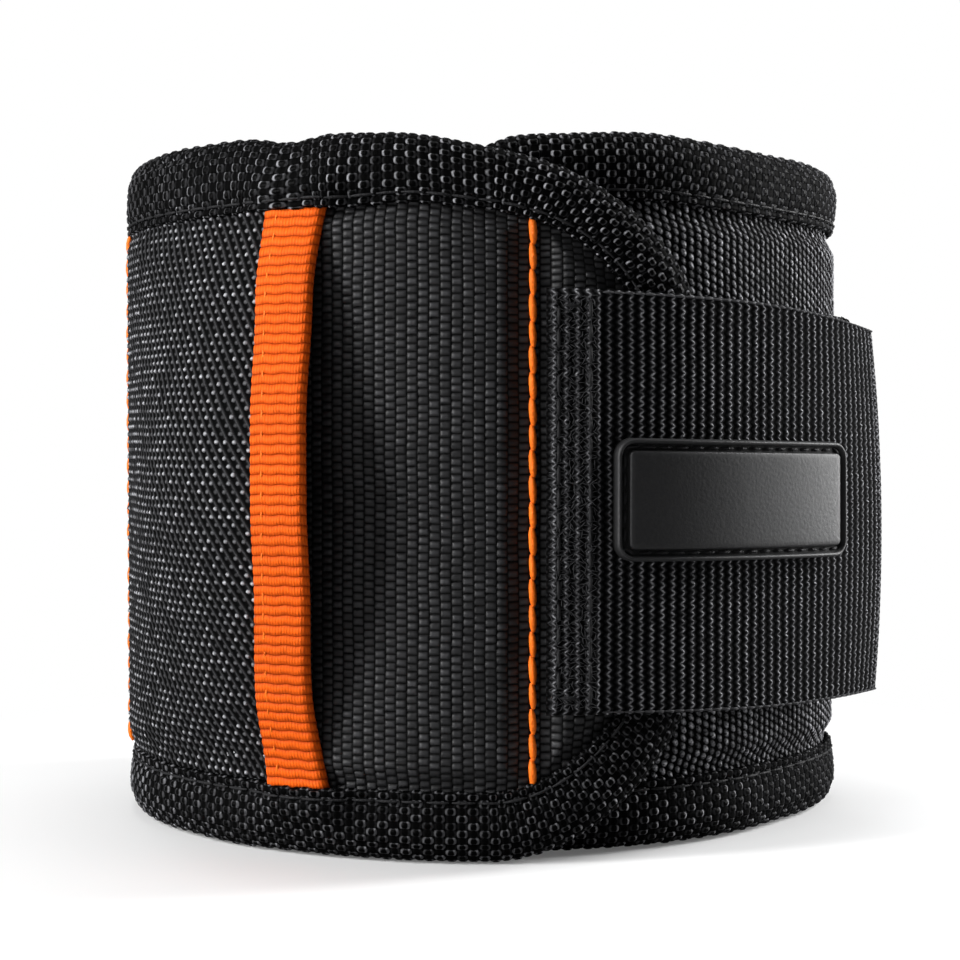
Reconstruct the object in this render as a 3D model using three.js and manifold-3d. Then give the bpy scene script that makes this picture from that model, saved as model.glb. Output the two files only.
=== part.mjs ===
// Magnetic wristband: a padded fabric band wrapped into a loop, standing on its lower edge.
// Every fabric piece is drawn flat, as s along the band, o out of its face and z up,
// and is then wrapped round the loop. The tongue end lies over the other end at the front (-Y).
// Millimetres, +Z up, origin at the bottom centre of the whole part.

import * as THREE from "three";
import { mergeVertices } from "three/addons/utils/BufferGeometryUtils.js";
import Module from "manifold-3d";

const wasm = await Module();
wasm.setup();
const { clamp, degToRad, lerp, smoothstep } = THREE.MathUtils;

// Loop in plan, to the outer face of the band
const loopHalfWidth = 50.8;
const loopHalfDepth = 43;
const bandHeight = 90;

// Where things lie round the loop: 0 is the front, and angles grow to the right
const underEndAngle = degToRad(-8);
const tuckEndAngle = degToRad(55);
const tuckStartAngle = degToRad(100);
const loopPanelEndAngle = degToRad(118);
const leftSeamAngle = degToRad(280.5);
const ribbonAngle = degToRad(337.75);
const rightSeamAngle = degToRad(367);
const strapEndAngle = degToRad(437);

// Fabric thicknesses and the room left between neighbours
const clearance = 0.3;
const shellThickness = 0.8;
const coreThickness = 2;
const liningThickness = 1;
const layerGap = 0.5;
const meshThickness = 0.6;
const ribbonThickness = 0.6;
const webbingThickness = 1.4;
const anchorThickness = 2.2;
const hookThickness = 1.6;

// Bound edges and seams
const bindingWidth = 8.8;
const endCornerRadius = 13;
const pinchRun = 3;
const seamFlat = 1.2;
const seamGap = 0.35;

// Tongue: its rounded end starts this far before the seam, and is this long
const tongueLead = 5.6;
const tongueLength = 33;

// Droop of the top edge towards the tongue, the run before the seam over which it grows, and its depth
const topDroop = 3;
const droopRun = 19;
const droopDepth = 21;

// Magnets
const magnetRadius = 4.5;
const magnetThickness = 1.5;
const magnetColumns = 5;
const magnetRows = 3;
const magnetRowPitch = 20;

// Pocket
const ribbonWidth = 7.6;
const pocketBulge = 5;

// Closing strap and its badge
const strapLead = 1.35;
const anchorLength = 6.05;
const strapWidth = 51.7;
const strapEndWidth = 50.1;
const strapDrop = 0.75;
const strapSag = 2.25;
const strapLift = 4.3;
const strapTwist = 0.4;
const strapBow = 1.2;
const loopPanelHeight = 48;
const hookHeight = 44;
const hookEndMargin = 5;
const badgeLead = 1.6;
const badgeLength = 34.9;
const badgeHeight = 15;
const badgeDrop = 0.45;
const badgeSlant = 0.55;
const badgeCorner = 2.2;
const badgeRim = 0.6;
const badgeGroove = 0.95;
const badgeBase = 1;
const badgeRelief = 0.8;

const stationStep = 5;

// Layers that follow from the sizes above
const midHeight = bandHeight / 2;
const bandThickness = shellThickness + coreThickness + liningThickness + 2 * clearance;
const pinchedStack = shellThickness + liningThickness + clearance;
const tapeThickness = (bandThickness - pinchedStack - 2 * clearance) / 2;
const pinchDrop = tapeThickness + clearance;
const panelInset = tapeThickness + 2 * clearance;
const pinchEnd = bindingWidth + clearance;
const crownStart = pinchEnd + pinchRun;
const coreInset = crownStart + clearance;
const layerPitch = bandThickness + layerGap;
const strapSeat = clearance;
const loopThickness = layerPitch - hookThickness - 2 * clearance;

// The outer face of the band in plan, from the tucked end under the tongue to the strap's end
class BandPath extends THREE.Curve {
  constructor() {
    super();
    this.arcLengthDivisions = 720;
  }

  getPoint(u, target = new THREE.Vector3()) {
    const angle = lerp(underEndAngle, strapEndAngle, u);
    const tuck = layerPitch * (1 - smoothstep(angle, tuckEndAngle, tuckStartAngle));
    const x = (loopHalfWidth - tuck) * Math.sin(angle);
    const y = -(loopHalfDepth - tuck) * Math.cos(angle);
    return target.set(x, y, 0);
  }

  arcAt(angle) {
    const u = (angle - underEndAngle) / (strapEndAngle - underEndAngle);
    const lengths = this.getLengths();
    const place = u * this.arcLengthDivisions;
    const index = Math.min(Math.floor(place), this.arcLengthDivisions - 1);
    return lerp(lengths[index], lengths[index + 1], place - index);
  }
}

const path = new BandPath();
const pathLength = path.getLength();
const leftSeam = path.arcAt(leftSeamAngle);
const rightSeam = path.arcAt(rightSeamAngle);
const tongueStart = rightSeam - tongueLead;
const tongueTip = tongueStart + tongueLength;
const pocketMouth = path.arcAt(ribbonAngle);
const anchorStart = rightSeam + strapLead;
const strapHinge = anchorStart + anchorLength;
const strapEnd = pathLength;
const loopPanelEnd = path.arcAt(loopPanelEndAngle);
const tongueTipAngle = rightSeamAngle + ((tongueTip - rightSeam) / (strapEnd - rightSeam))
  * (strapEndAngle - rightSeamAngle);
const loopPanelStart = path.arcAt(tongueTipAngle - 2 * Math.PI) + 2 * webbingThickness;

const black = { color: 0x17181a, roughness: 0.8, metalness: 0 };
const fabrics = {
  ballistic: new THREE.MeshStandardMaterial({ ...black, name: "ballistic nylon" }),
  knit: new THREE.MeshStandardMaterial({ ...black, color: 0x1d1e20, name: "loop knit" }),
  lining: new THREE.MeshStandardMaterial({ ...black, color: 0x26272a, name: "lining" }),
  tape: new THREE.MeshStandardMaterial({ ...black, color: 0x1a1b1d, name: "binding tape" }),
  webbing: new THREE.MeshStandardMaterial({ ...black, color: 0x141517, name: "webbing" }),
  foam: new THREE.MeshStandardMaterial({ color: 0x55585c, roughness: 0.95, metalness: 0 }),
  magnet: new THREE.MeshStandardMaterial({ color: 0xb9bcc0, roughness: 0.3, metalness: 1 }),
  orange: new THREE.MeshStandardMaterial({ color: 0xf06a1e, roughness: 0.7, metalness: 0 }),
  rubber: new THREE.MeshStandardMaterial({ color: 0x2b2c2e, roughness: 0.5, metalness: 0 }),
};
const part = new THREE.Group();
part.name = "magnetic_wristband";

function addPiece(name, geometry, material) {
  const mesh = new THREE.Mesh(geometry, material);
  mesh.name = name;
  part.add(mesh);
}

// How far a point of the flat pattern droops near the top edge
function droop(s, z) {
  const along = smoothstep(s, rightSeam - droopRun, rightSeam);
  return topDroop * along * smoothstep(z, bandHeight - droopDepth, bandHeight);
}

// A point of the flat pattern, wrapped round the loop
function wrap(s, o, z) {
  const u = s / pathLength;
  const point = path.getPointAt(u);
  const tangent = path.getTangentAt(u);
  return new THREE.Vector3(point.x + tangent.y * o, point.y - tangent.x * o, z - droop(s, z));
}

// Evenly spaced values from a to b, also stopping at the places named
function stations(a, b, stops = [], step = stationStep) {
  const inside = stops.filter((stop) => stop > a && stop < b);
  const ends = [a, ...inside, b].sort((p, q) => p - q);
  const list = [a];
  for (let i = 1; i < ends.length; i++) {
    const parts = Math.max(1, Math.round((ends[i] - ends[i - 1]) / step));
    for (let k = 1; k <= parts; k++) list.push(lerp(ends[i - 1], ends[i], k / parts));
  }
  return list;
}

// Triangles that fill a flat outline
function outlineCap(outline) {
  const clockwise = THREE.ShapeUtils.isClockWise(outline);
  const triangles = THREE.ShapeUtils.triangulateShape(outline, []);
  return triangles.map(([a, b, c]) => (clockwise ? [a, c, b] : [a, b, c]));
}

// Triangles that fill a ring made of rows going up and the same rows coming down
function rowCap(rows) {
  const list = [];
  for (let i = 0; i + 1 < rows; i++) {
    const across = 2 * rows - 1 - i;
    list.push([i, i + 1, across - 1], [i, across - 1, across]);
  }
  return list;
}

// A closed solid through rings of points, with cap the triangles that fill its first ring
function loft(rings, cap) {
  const count = rings[0].length;
  const positions = rings.flat().flatMap((p) => [p.x, p.y, p.z]);
  const index = [];
  for (let k = 0; k + 1 < rings.length; k++) {
    for (let i = 0; i < count; i++) {
      const a = k * count + i;
      const b = k * count + ((i + 1) % count);
      index.push(a, a + count, b + count, a, b + count, b);
    }
  }
  const last = (rings.length - 1) * count;
  for (const [a, b, c] of cap) index.push(a, b, c, last + a, last + c, last + b);
  const geometry = new THREE.BufferGeometry();
  geometry.setAttribute("position", new THREE.Float32BufferAttribute(positions, 3));
  geometry.setIndex(index);
  geometry.computeVertexNormals();
  return geometry;
}

// A panel between two faces: rowsAt gives its heights at s, bottom to top, and the faces give o
function panel(along, rowsAt, outerAt, innerAt) {
  const sections = along.map((s) => {
    const rows = rowsAt(s);
    const up = rows.map((z, i) => new THREE.Vector2(outerAt(s, z, i), z));
    const down = rows.map((z, i) => new THREE.Vector2(innerAt(s, z, i), z)).reverse();
    return [...up, ...down];
  });
  const rings = sections.map((ring, k) => ring.map((p) => wrap(along[k], p.x, p.y)));
  return loft(rings, rowCap(sections[0].length / 2));
}

// The section of a tape folded over an edge: e runs in from the fold, o down from the outer leaf
function foldSection(width, wall, slot) {
  const depth = slot + 2 * wall;
  const round = depth * 0.3;
  const point = (e, o) => new THREE.Vector2(e, o);
  return [
    point(width, 0),
    point(width, -wall),
    point(wall, -wall),
    point(wall, -wall - slot),
    point(width, -wall - slot),
    point(width, -depth),
    point(round, -depth),
    point(round * 0.3, -depth + round * 0.3),
    point(0, -depth + round),
    point(0, -round),
    point(round * 0.3, -round * 0.3),
    point(round, 0),
  ];
}

// Binding tape folded over an outline of the flat pattern, whose inside is on its left.
// Both ends are cut square across the band, where the next piece begins.
function binding(outline) {
  const section = foldSection(bindingWidth, tapeThickness, pinchedStack + 2 * clearance);
  const rings = outline.map((at, k) => {
    const before = outline[Math.max(k - 1, 0)];
    const after = outline[Math.min(k + 1, outline.length - 1)];
    const run = new THREE.Vector2().subVectors(after, before);
    if (k === 0 || k === outline.length - 1) run.y = 0;
    run.normalize();
    return section.map((p) => wrap(at.x - run.y * p.x, p.y, at.y + run.x * p.x));
  });
  return loft(rings, outlineCap(section));
}

function toSolid(geometry) {
  const bare = geometry.index ? geometry.toNonIndexed() : geometry.clone();
  bare.deleteAttribute("normal");
  bare.deleteAttribute("uv");
  const merged = mergeVertices(bare);
  return new wasm.Manifold(new wasm.Mesh({
    numProp: 3,
    vertProperties: merged.attributes.position.array,
    triVerts: merged.index.array,
  }));
}

function toGeometry(solid) {
  const mesh = solid.getMesh();
  const geometry = new THREE.BufferGeometry();
  geometry.setAttribute("position", new THREE.BufferAttribute(mesh.vertProperties, 3));
  geometry.setIndex(new THREE.BufferAttribute(mesh.triVerts, 1));
  geometry.computeVertexNormals();
  return geometry;
}

// Half the height of the front and tongue outline, set in by a distance
function frontHalfHeight(s, inset) {
  const past = Math.max(0, s - tongueStart) / (tongueLength - inset);
  return past >= 1 ? 0 : (midHeight - inset) * Math.sqrt(1 - past * past);
}

// Half the height of the rear panel's outline, with its rounded corners, set in by a distance
function rearHalfHeight(s, inset) {
  const radius = endCornerRadius - inset;
  const into = Math.max(0, endCornerRadius - s);
  return midHeight - inset - radius + Math.sqrt(Math.max(0, radius * radius - into * into));
}

// How far a face is drawn in at a distance from a stitched line: 1 at the line and 0 at the crown
function pinch(distance, flat) {
  return 1 - smoothstep(distance, flat, flat + pinchRun);
}

const seamPinch = (s, seam) => pinch(Math.abs(s - seam), seamFlat);
const frontPinch = (s) => Math.max(seamPinch(s, leftSeam), seamPinch(s, rightSeam));
const rearPinch = (s) => Math.max(seamPinch(s, leftSeam), pinch(s, pinchEnd));
const tonguePinch = (s) => Math.max(seamPinch(s, rightSeam), pinch(tongueTip - s, pinchEnd));

// Rows of a bound panel, bottom to top: its edge, the binding's inner edge, the crown and the middle
const rowInsets = [panelInset, pinchEnd, crownStart];
const leastRow = 0.5;

function boundRows(halfHeightAt) {
  return (s) => {
    const halves = [];
    rowInsets.forEach((inset, i) => {
      const room = i === 0 ? midHeight : halves[i - 1] - leastRow;
      halves.push(Math.min(room, Math.max(halfHeightAt(s, inset), (rowInsets.length - i) * leastRow)));
    });
    const lower = halves.map((half) => midHeight - half);
    const upper = halves.map((half) => midHeight + half).reverse();
    return [...lower, midHeight, ...upper];
  };
}

const rowPinch = [1, 1, 0, 0, 0, 1, 1];

function boundPanels(prefix, along, halfHeightAt, pinchAt, shellMaterial) {
  const rows = boundRows(halfHeightAt);
  const drawnIn = (s, row) => pinchDrop * Math.max(rowPinch[row], pinchAt(s));
  const shellOuter = (s, z, row) => -drawnIn(s, row);
  const shellInner = (s, z, row) => -drawnIn(s, row) - shellThickness;
  const liningOuter = (s, z, row) => drawnIn(s, row) - bandThickness + liningThickness;
  const liningInner = (s, z, row) => drawnIn(s, row) - bandThickness;
  addPiece(`${prefix}_shell`, panel(along, rows, shellOuter, shellInner), shellMaterial);
  addPiece(`${prefix}_lining`, panel(along, rows, liningOuter, liningInner), fabrics.lining);
}

function coreSlab(along, halfHeightAt) {
  const rows = (s) => {
    const half = halfHeightAt(s, coreInset);
    return [midHeight - half, midHeight, midHeight + half];
  };
  const outer = -shellThickness - clearance;
  return panel(along, rows, () => outer, () => outer - coreThickness);
}

const seamStops = (seam) => [-1, 1].flatMap((side) => [
  seam + side * seamFlat,
  seam + side * (seamFlat + pinchRun / 2),
  seam + side * (seamFlat + pinchRun),
]);
const coreFromSeam = seamFlat + pinchRun + clearance;

// Magnet panel, between the two stitched seams
const frontStart = leftSeam + seamGap / 2;
const frontEnd = rightSeam - seamGap / 2;
const frontStops = [...seamStops(leftSeam), ...seamStops(rightSeam), rightSeam - droopRun, tongueStart];
const frontAlong = stations(frontStart, frontEnd, frontStops);
boundPanels("front", frontAlong, frontHalfHeight, frontPinch, fabrics.ballistic);

const topEdge = frontAlong.map((s) => new THREE.Vector2(s, midHeight + frontHalfHeight(s, 0)));
const bottomEdge = frontAlong.map((s) => new THREE.Vector2(s, midHeight - frontHalfHeight(s, 0)));
addPiece("front_binding_top", binding(topEdge.reverse()), fabrics.tape);
addPiece("front_binding_bottom", binding(bottomEdge), fabrics.tape);

const carrierStart = leftSeam + coreFromSeam;
const carrierEnd = rightSeam - coreFromSeam;
const columnPitch = (carrierEnd - carrierStart) / magnetColumns;
const magnetPlaces = [];
for (let column = 0; column < magnetColumns; column++) {
  for (let row = 0; row < magnetRows; row++) {
    const z = midHeight + (row - (magnetRows - 1) / 2) * magnetRowPitch;
    magnetPlaces.push({ s: carrierStart + (column + 0.5) * columnPitch, z });
  }
}

// A disc standing on the band's surface, its axis along the surface normal
function standingDisc(place, radius, height, offset) {
  const geometry = new THREE.CylinderGeometry(radius, radius, height, 16);
  const centre = wrap(place.s, offset, place.z);
  const outward = wrap(place.s, offset + 1, place.z).sub(centre);
  const turn = new THREE.Quaternion().setFromUnitVectors(new THREE.Vector3(0, 1, 0), outward);
  return geometry.applyQuaternion(turn).translate(centre.x, centre.y, centre.z);
}

const coreMiddle = -shellThickness - clearance - coreThickness / 2;
const holes = magnetPlaces.map((place) => toSolid(
  standingDisc(place, magnetRadius + clearance, 3 * coreThickness, coreMiddle),
));
const carrierAlong = stations(carrierStart, carrierEnd);
const carrier = toSolid(coreSlab(carrierAlong, () => midHeight - coreInset));
addPiece("magnet_carrier", toGeometry(carrier.subtract(wasm.Manifold.union(holes))), fabrics.foam);
magnetPlaces.forEach((place, i) => {
  const disc = standingDisc(place, magnetRadius, magnetThickness, coreMiddle);
  addPiece(`magnet_${String(i + 1).padStart(2, "0")}`, disc, fabrics.magnet);
});

// Pocket: a mesh panel held by the left seam and the bindings, its free edge bound by the ribbon
const meshEdge = pinchEnd + clearance;
const ribbonRoom = 2 * clearance + ribbonThickness;
const ribbonFold = pocketMouth + clearance + ribbonThickness;

// Offset of the mesh's inner face: down at the left seam, and bowed out at the mouth's middle
function meshInner(s, z) {
  const drawn = pinchDrop * seamPinch(s, leftSeam);
  const raised = smoothstep(s, leftSeam + coreFromSeam, pocketMouth - ribbonWidth);
  const open = Math.cos((Math.PI * (z - midHeight)) / (bandHeight - 2 * meshEdge));
  return lerp(clearance - drawn, ribbonRoom, raised) + pocketBulge * raised * open ** 2;
}

const pocketRows = stations(meshEdge, bandHeight - meshEdge, [], 9);
const pocketAlong = stations(frontStart, pocketMouth, frontStops);
const meshOuter = (s, z) => meshInner(s, z) + meshThickness;
addPiece("pocket_mesh", panel(pocketAlong, () => pocketRows, meshOuter, meshInner), fabrics.knit);

// The ribbon's section runs along s and follows the mesh at each height
function ribbonRing(z) {
  const wall = ribbonThickness;
  const slot = meshThickness + 2 * clearance;
  return foldSection(ribbonWidth, wall, slot).map((p) => {
    const s = ribbonFold - p.x;
    return wrap(s, meshOuter(Math.min(s, pocketMouth), z) + clearance + wall + p.y, z);
  });
}

const ribbonShape = foldSection(ribbonWidth, ribbonThickness, meshThickness + 2 * clearance);
addPiece("pocket_ribbon", loft(pocketRows.map(ribbonRing), outlineCap(ribbonShape)), fabrics.orange);

// Tongue: the rounded end past the right seam
const tongueBegin = rightSeam + seamGap / 2;
const tongueStops = [...seamStops(rightSeam), tongueTip - crownStart, tongueTip - pinchEnd];
const tongueAlong = stations(tongueBegin, tongueTip - panelInset - 0.5, tongueStops, 3);
boundPanels("tongue", tongueAlong, frontHalfHeight, tonguePinch, fabrics.ballistic);
const paddingAlong = stations(rightSeam + coreFromSeam, tongueTip - coreInset - 0.5, [], 3);
addPiece("tongue_padding", coreSlab(paddingAlong, frontHalfHeight), fabrics.foam);

// The tongue's outline from the seam at the bottom, round the end, to the seam at the top
function tongueOutline() {
  const first = Math.asin((tongueBegin - tongueStart) / tongueLength);
  return stations(first, Math.PI - first, [], 0.13).map((turn) => new THREE.Vector2(
    tongueStart + tongueLength * Math.sin(turn),
    midHeight - midHeight * Math.cos(turn),
  ));
}

addPiece("tongue_binding", binding(tongueOutline()), fabrics.tape);

// Rear panel: from its square end under the tongue, round the back, to the left seam
const rearEnd = leftSeam - seamGap / 2;
const rearStops = [
  ...stations(pinchEnd, crownStart, [], pinchRun / 2),
  panelInset + 0.6,
  panelInset + 3,
  endCornerRadius,
  ...seamStops(leftSeam),
];
const rearAlong = stations(panelInset, rearEnd, rearStops);
boundPanels("rear", rearAlong, rearHalfHeight, rearPinch, fabrics.knit);
const rearPaddingAlong = stations(coreInset, leftSeam - coreFromSeam);
addPiece("rear_padding", coreSlab(rearPaddingAlong, rearHalfHeight), fabrics.foam);

// The rear outline from the seam at the top, round the square end, to the seam at the bottom
function rearOutline() {
  const level = stations(endCornerRadius, rearEnd).reverse();
  const corner = stations(0, Math.PI / 2, [], 0.26).slice(1);
  const round = corner.map((turn) => new THREE.Vector2(
    endCornerRadius * (1 - Math.sin(turn)),
    bandHeight - endCornerRadius * (1 - Math.cos(turn)),
  ));
  const top = [...level.map((s) => new THREE.Vector2(s, bandHeight)), ...round];
  const bottom = top.map((p) => new THREE.Vector2(p.x, bandHeight - p.y)).reverse();
  return [...top, ...bottom];
}

addPiece("rear_binding", binding(rearOutline()), fabrics.tape);

const loopRows = stations(midHeight - loopPanelHeight / 2, midHeight + loopPanelHeight / 2, [], 24);
const loopAlong = stations(loopPanelStart, loopPanelEnd);
const loopPanel = panel(loopAlong, () => loopRows, () => clearance + loopThickness, () => clearance);
addPiece("loop_panel", loopPanel, fabrics.knit);

// Closing strap: sewn to the tongue by its anchor. Its free end sags, stands off and is bowed.
function strapCentre(s) {
  const share = clamp((s - anchorStart) / (strapEnd - anchorStart), 0, 1);
  return midHeight - strapDrop - strapSag * share ** 1.5;
}

function strapHalf(s) {
  return lerp(strapWidth, strapEndWidth, smoothstep(s, tongueTip, strapEnd)) / 2;
}

function strapRows(s) {
  return stations(-1, 1, [], 0.4).map((share) => strapCentre(s) + share * strapHalf(s));
}

function strapInner(s, z) {
  const free = Math.max(0, s - tongueTip) / (strapEnd - tongueTip);
  const across = (z - strapCentre(s)) / strapHalf(s);
  return strapSeat + free * free * (strapLift - strapTwist * across - strapBow * across * across);
}

const strapOuter = (s, z) => strapInner(s, z) + webbingThickness;
const strapStops = [tongueTip - bindingWidth, tongueTip];
const strapAlong = stations(strapHinge + seamGap, strapEnd, strapStops, 3.5);
addPiece("strap_webbing", panel(strapAlong, strapRows, strapOuter, strapInner), fabrics.webbing);

const anchorAlong = stations(anchorStart, strapHinge);
const anchorTop = strapSeat + anchorThickness;
addPiece("strap_anchor", panel(anchorAlong, strapRows, () => anchorTop, () => strapSeat), fabrics.webbing);

const hookAlong = stations(tongueTip + clearance, strapEnd - hookEndMargin, [], 3.5);
const hookRows = (s) => stations(-1, 1, [], 0.4).map((share) => strapCentre(s) + (share * hookHeight) / 2);
const hookOuter = (s, z) => strapInner(s, z) - clearance;
const hookInner = (s, z) => hookOuter(s, z) - hookThickness;
addPiece("hook_tape", panel(hookAlong, hookRows, hookOuter, hookInner), fabrics.webbing);

// Badge: a moulded patch with a rim, a stitching groove and a plain raised plate
const badgeStart = strapHinge + seamGap + badgeLead;
const badgeCentre = (s) => midHeight - badgeDrop - (badgeSlant * (s - badgeStart)) / badgeLength;

function badgeSlab(inset, from, to) {
  const start = badgeStart + inset;
  const end = badgeStart + badgeLength - inset;
  const corner = Math.max(badgeCorner - inset, 0.5);
  const half = badgeHeight / 2 - inset;
  const turns = [0.03, 0.2, 0.5];
  const stops = turns.flatMap((t) => [start + corner * t, end - corner * t]);
  const rows = (s) => {
    const into = Math.max(0, corner - (s - start), corner - (end - s));
    const reach = half - corner + Math.sqrt(Math.max(0, corner * corner - into * into));
    return [-1, 0, 1].map((share) => badgeCentre(s) + share * reach);
  };
  const at = (height) => (s, z) => strapOuter(s, z) + clearance + height;
  const along = stations(start, end, [...stops, start + corner, end - corner], 3.5);
  return toSolid(panel(along, rows, at(to), at(from)));
}

const rimTop = badgeBase + badgeRelief;
const plateBlock = badgeSlab(badgeRim + badgeGroove, 0, 3 * rimTop);
const groove = badgeSlab(badgeRim, badgeBase, 2 * rimTop).subtract(plateBlock);
addPiece("badge", toGeometry(badgeSlab(0, 0, rimTop).subtract(groove)), fabrics.rubber);

// Origin at the bottom centre
const box = new THREE.Box3().setFromObject(part);
const shift = box.getCenter(new THREE.Vector3()).setZ(box.min.z);
part.children.forEach((mesh) => mesh.geometry.translate(-shift.x, -shift.y, -shift.z));

export default part;
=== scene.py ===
"""Dressed model of a magnetic wristband: woven cloth, tape, ribbon, thread and rubber.

Pieces are drawn on the band's flat pattern in millimetres, with s along the band, o out of its
face and z up. They are then wrapped round the loop and written to their meshes in metres.
"""

import logging
import math
from collections.abc import Callable, Sequence
from dataclasses import dataclass, field
from enum import Enum

import bmesh
import bpy
import numpy as np
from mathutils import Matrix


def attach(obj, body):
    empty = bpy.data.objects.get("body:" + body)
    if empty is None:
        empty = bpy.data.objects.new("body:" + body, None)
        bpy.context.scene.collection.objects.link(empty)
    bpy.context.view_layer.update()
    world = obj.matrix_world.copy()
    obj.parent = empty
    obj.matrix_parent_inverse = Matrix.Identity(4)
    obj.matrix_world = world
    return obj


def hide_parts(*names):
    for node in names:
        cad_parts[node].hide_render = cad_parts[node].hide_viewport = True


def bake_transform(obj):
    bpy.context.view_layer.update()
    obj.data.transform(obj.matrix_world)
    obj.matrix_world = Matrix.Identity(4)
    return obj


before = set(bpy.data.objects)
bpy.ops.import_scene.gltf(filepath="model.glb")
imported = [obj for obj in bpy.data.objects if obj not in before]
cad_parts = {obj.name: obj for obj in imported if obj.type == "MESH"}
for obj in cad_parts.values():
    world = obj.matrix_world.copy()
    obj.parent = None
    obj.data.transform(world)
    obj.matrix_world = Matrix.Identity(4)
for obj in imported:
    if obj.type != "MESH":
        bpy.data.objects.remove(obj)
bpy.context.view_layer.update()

log = logging.getLogger("wristband")
Array = np.ndarray
Colour = tuple[float, float, float]
Piece = bpy.types.Object
Socket = bpy.types.NodeSocket
Tree = bpy.types.NodeTree
MM = 0.001
MEAN_RELIEF = 0.6


class Body(Enum):
    """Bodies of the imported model."""

    MAGNET_PANEL = "magnet_panel"
    TONGUE = "tongue"
    STRAP = "strap"
    REAR_PANEL = "rear_panel"


class WeaveKind(Enum):
    """Cloth structures on the band."""

    BASKET = "basket"
    TAPE = "tape"
    COLUMN = "column"
    ZIGZAG = "zigzag"
    KNIT = "knit"
    RIB = "rib"
    AIR_MESH = "air mesh"


class Wire(np.lib.mixins.NDArrayOperatorsMixin):
    """A shader value on which numpy's arithmetic writes math nodes.

    One weave formula then serves both the relief of a mesh and the surface of its material.
    """

    operations: dict[np.ufunc, str] = {
        np.add: "ADD", np.subtract: "SUBTRACT", np.multiply: "MULTIPLY", np.power: "POWER",
        np.absolute: "ABSOLUTE", np.floor: "FLOOR", np.sin: "SINE", np.cos: "COSINE", np.sqrt: "SQRT",
        np.minimum: "MINIMUM", np.maximum: "MAXIMUM",
    }

    def __init__(self, tree: Tree, socket: Socket) -> None:
        """Holds an output socket of a tree."""
        self.tree, self.socket = tree, socket

    def __array_ufunc__(
        self, ufunc: np.ufunc, method: str, *values: "Wire | float", **options: object
    ) -> "Wire":
        """Writes one step of arithmetic as a math node.

        Args:
            ufunc: The step.
            method: How numpy calls it; not used.
            values: Wires and plain numbers.
            options: Options of the step, unused.

        Returns:
            The result.
        """
        node = self.tree.nodes.new("ShaderNodeMath")
        node.operation = self.operations[ufunc]
        for value, socket in zip(values, node.inputs):
            if isinstance(value, Wire):
                self.tree.links.new(value.socket, socket)
            else:
                socket.default_value = float(value)
        return Wire(self.tree, node.outputs[0])


Value = Array | Wire | float


def unit(x: Value) -> Value:
    """A value held between 0 and 1."""
    return np.minimum(np.maximum(x, 0.0), 1.0)


def fraction(x: Value) -> Value:
    """The part of a value past the whole number below it."""
    return x - np.floor(x)


def smooth(x: Value, low: float, high: float) -> Value:
    """Smooth step from 0 at low to 1 at high."""
    t = unit((x - low) * (1 / (high - low)))
    return t * t * (3.0 - 2.0 * t)


def wobble(u: Array, v: Array, size: float, seed: int) -> Array:
    """Slow random drift over a surface.

    Args:
        u, v: Places on the surface.
        size: Length over which the drift changes.
        seed: Fixed seed of the drift.

    Returns:
        Values from -1 to 1.
    """
    table = np.random.default_rng(seed).uniform(-1, 1, (64, 64))
    x, y = u / size, v / size
    i, j = np.floor(x).astype(int), np.floor(y).astype(int)
    fx, fy = smooth(x - i, 0, 1), smooth(y - j, 0, 1)
    low = table[i % 64, j % 64] * (1 - fx) + table[(i + 1) % 64, j % 64] * fx
    high = table[i % 64, (j + 1) % 64] * (1 - fx) + table[(i + 1) % 64, (j + 1) % 64] * fx
    return low * (1 - fy) + high * fy


def scatter(column: Value, row: Value, seed: int) -> Value:
    """A fixed random value from 0 to 1 for each cell of a weave."""
    return fraction(np.sin(column * 12.9898 + row * 4.1414 + seed) * 437.585)


def spread(a: float, b: float, step: float) -> Array:
    """Even stations from a to b, about a step apart."""
    return np.linspace(a, b, max(2, int(round(abs(b - a) / step)) + 1))


def places(*values: Array | float) -> Array:
    """Rows of s, o and z, or of s and z, from one array or number for each."""
    return np.stack(np.broadcast_arrays(*values), axis=-1)


def travelled(line: Array) -> Array:
    """Length along a line up to each of its points."""
    return np.concatenate([[0.0], np.cumsum(np.linalg.norm(np.diff(line, axis=0), axis=1))])


def sampled(at: Array, lengths: Array, rows: Array) -> Array:
    """Rows of values between the lengths at which they are known."""
    return np.stack([np.interp(at, lengths, column) for column in rows.T], axis=1)


def headings(line: Array) -> Array:
    """Unit directions along a line."""
    run = np.gradient(line, axis=0)
    return run / np.linalg.norm(run, axis=1)[:, None]


def rounded(share: Array, least: float) -> Array:
    """Height of a round edge, from 0 at its foot to 1 over a full radius, and no less than a least."""
    return np.sqrt(np.clip(1 - (1 - np.clip(share, 0, 1)) ** 2, least, 1))


def hump(x: Array, centre: float, width: float, power: int = 2) -> Array:
    """A bell that is 1 at its centre."""
    return np.exp(-(((x - centre) / width) ** power))


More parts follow.
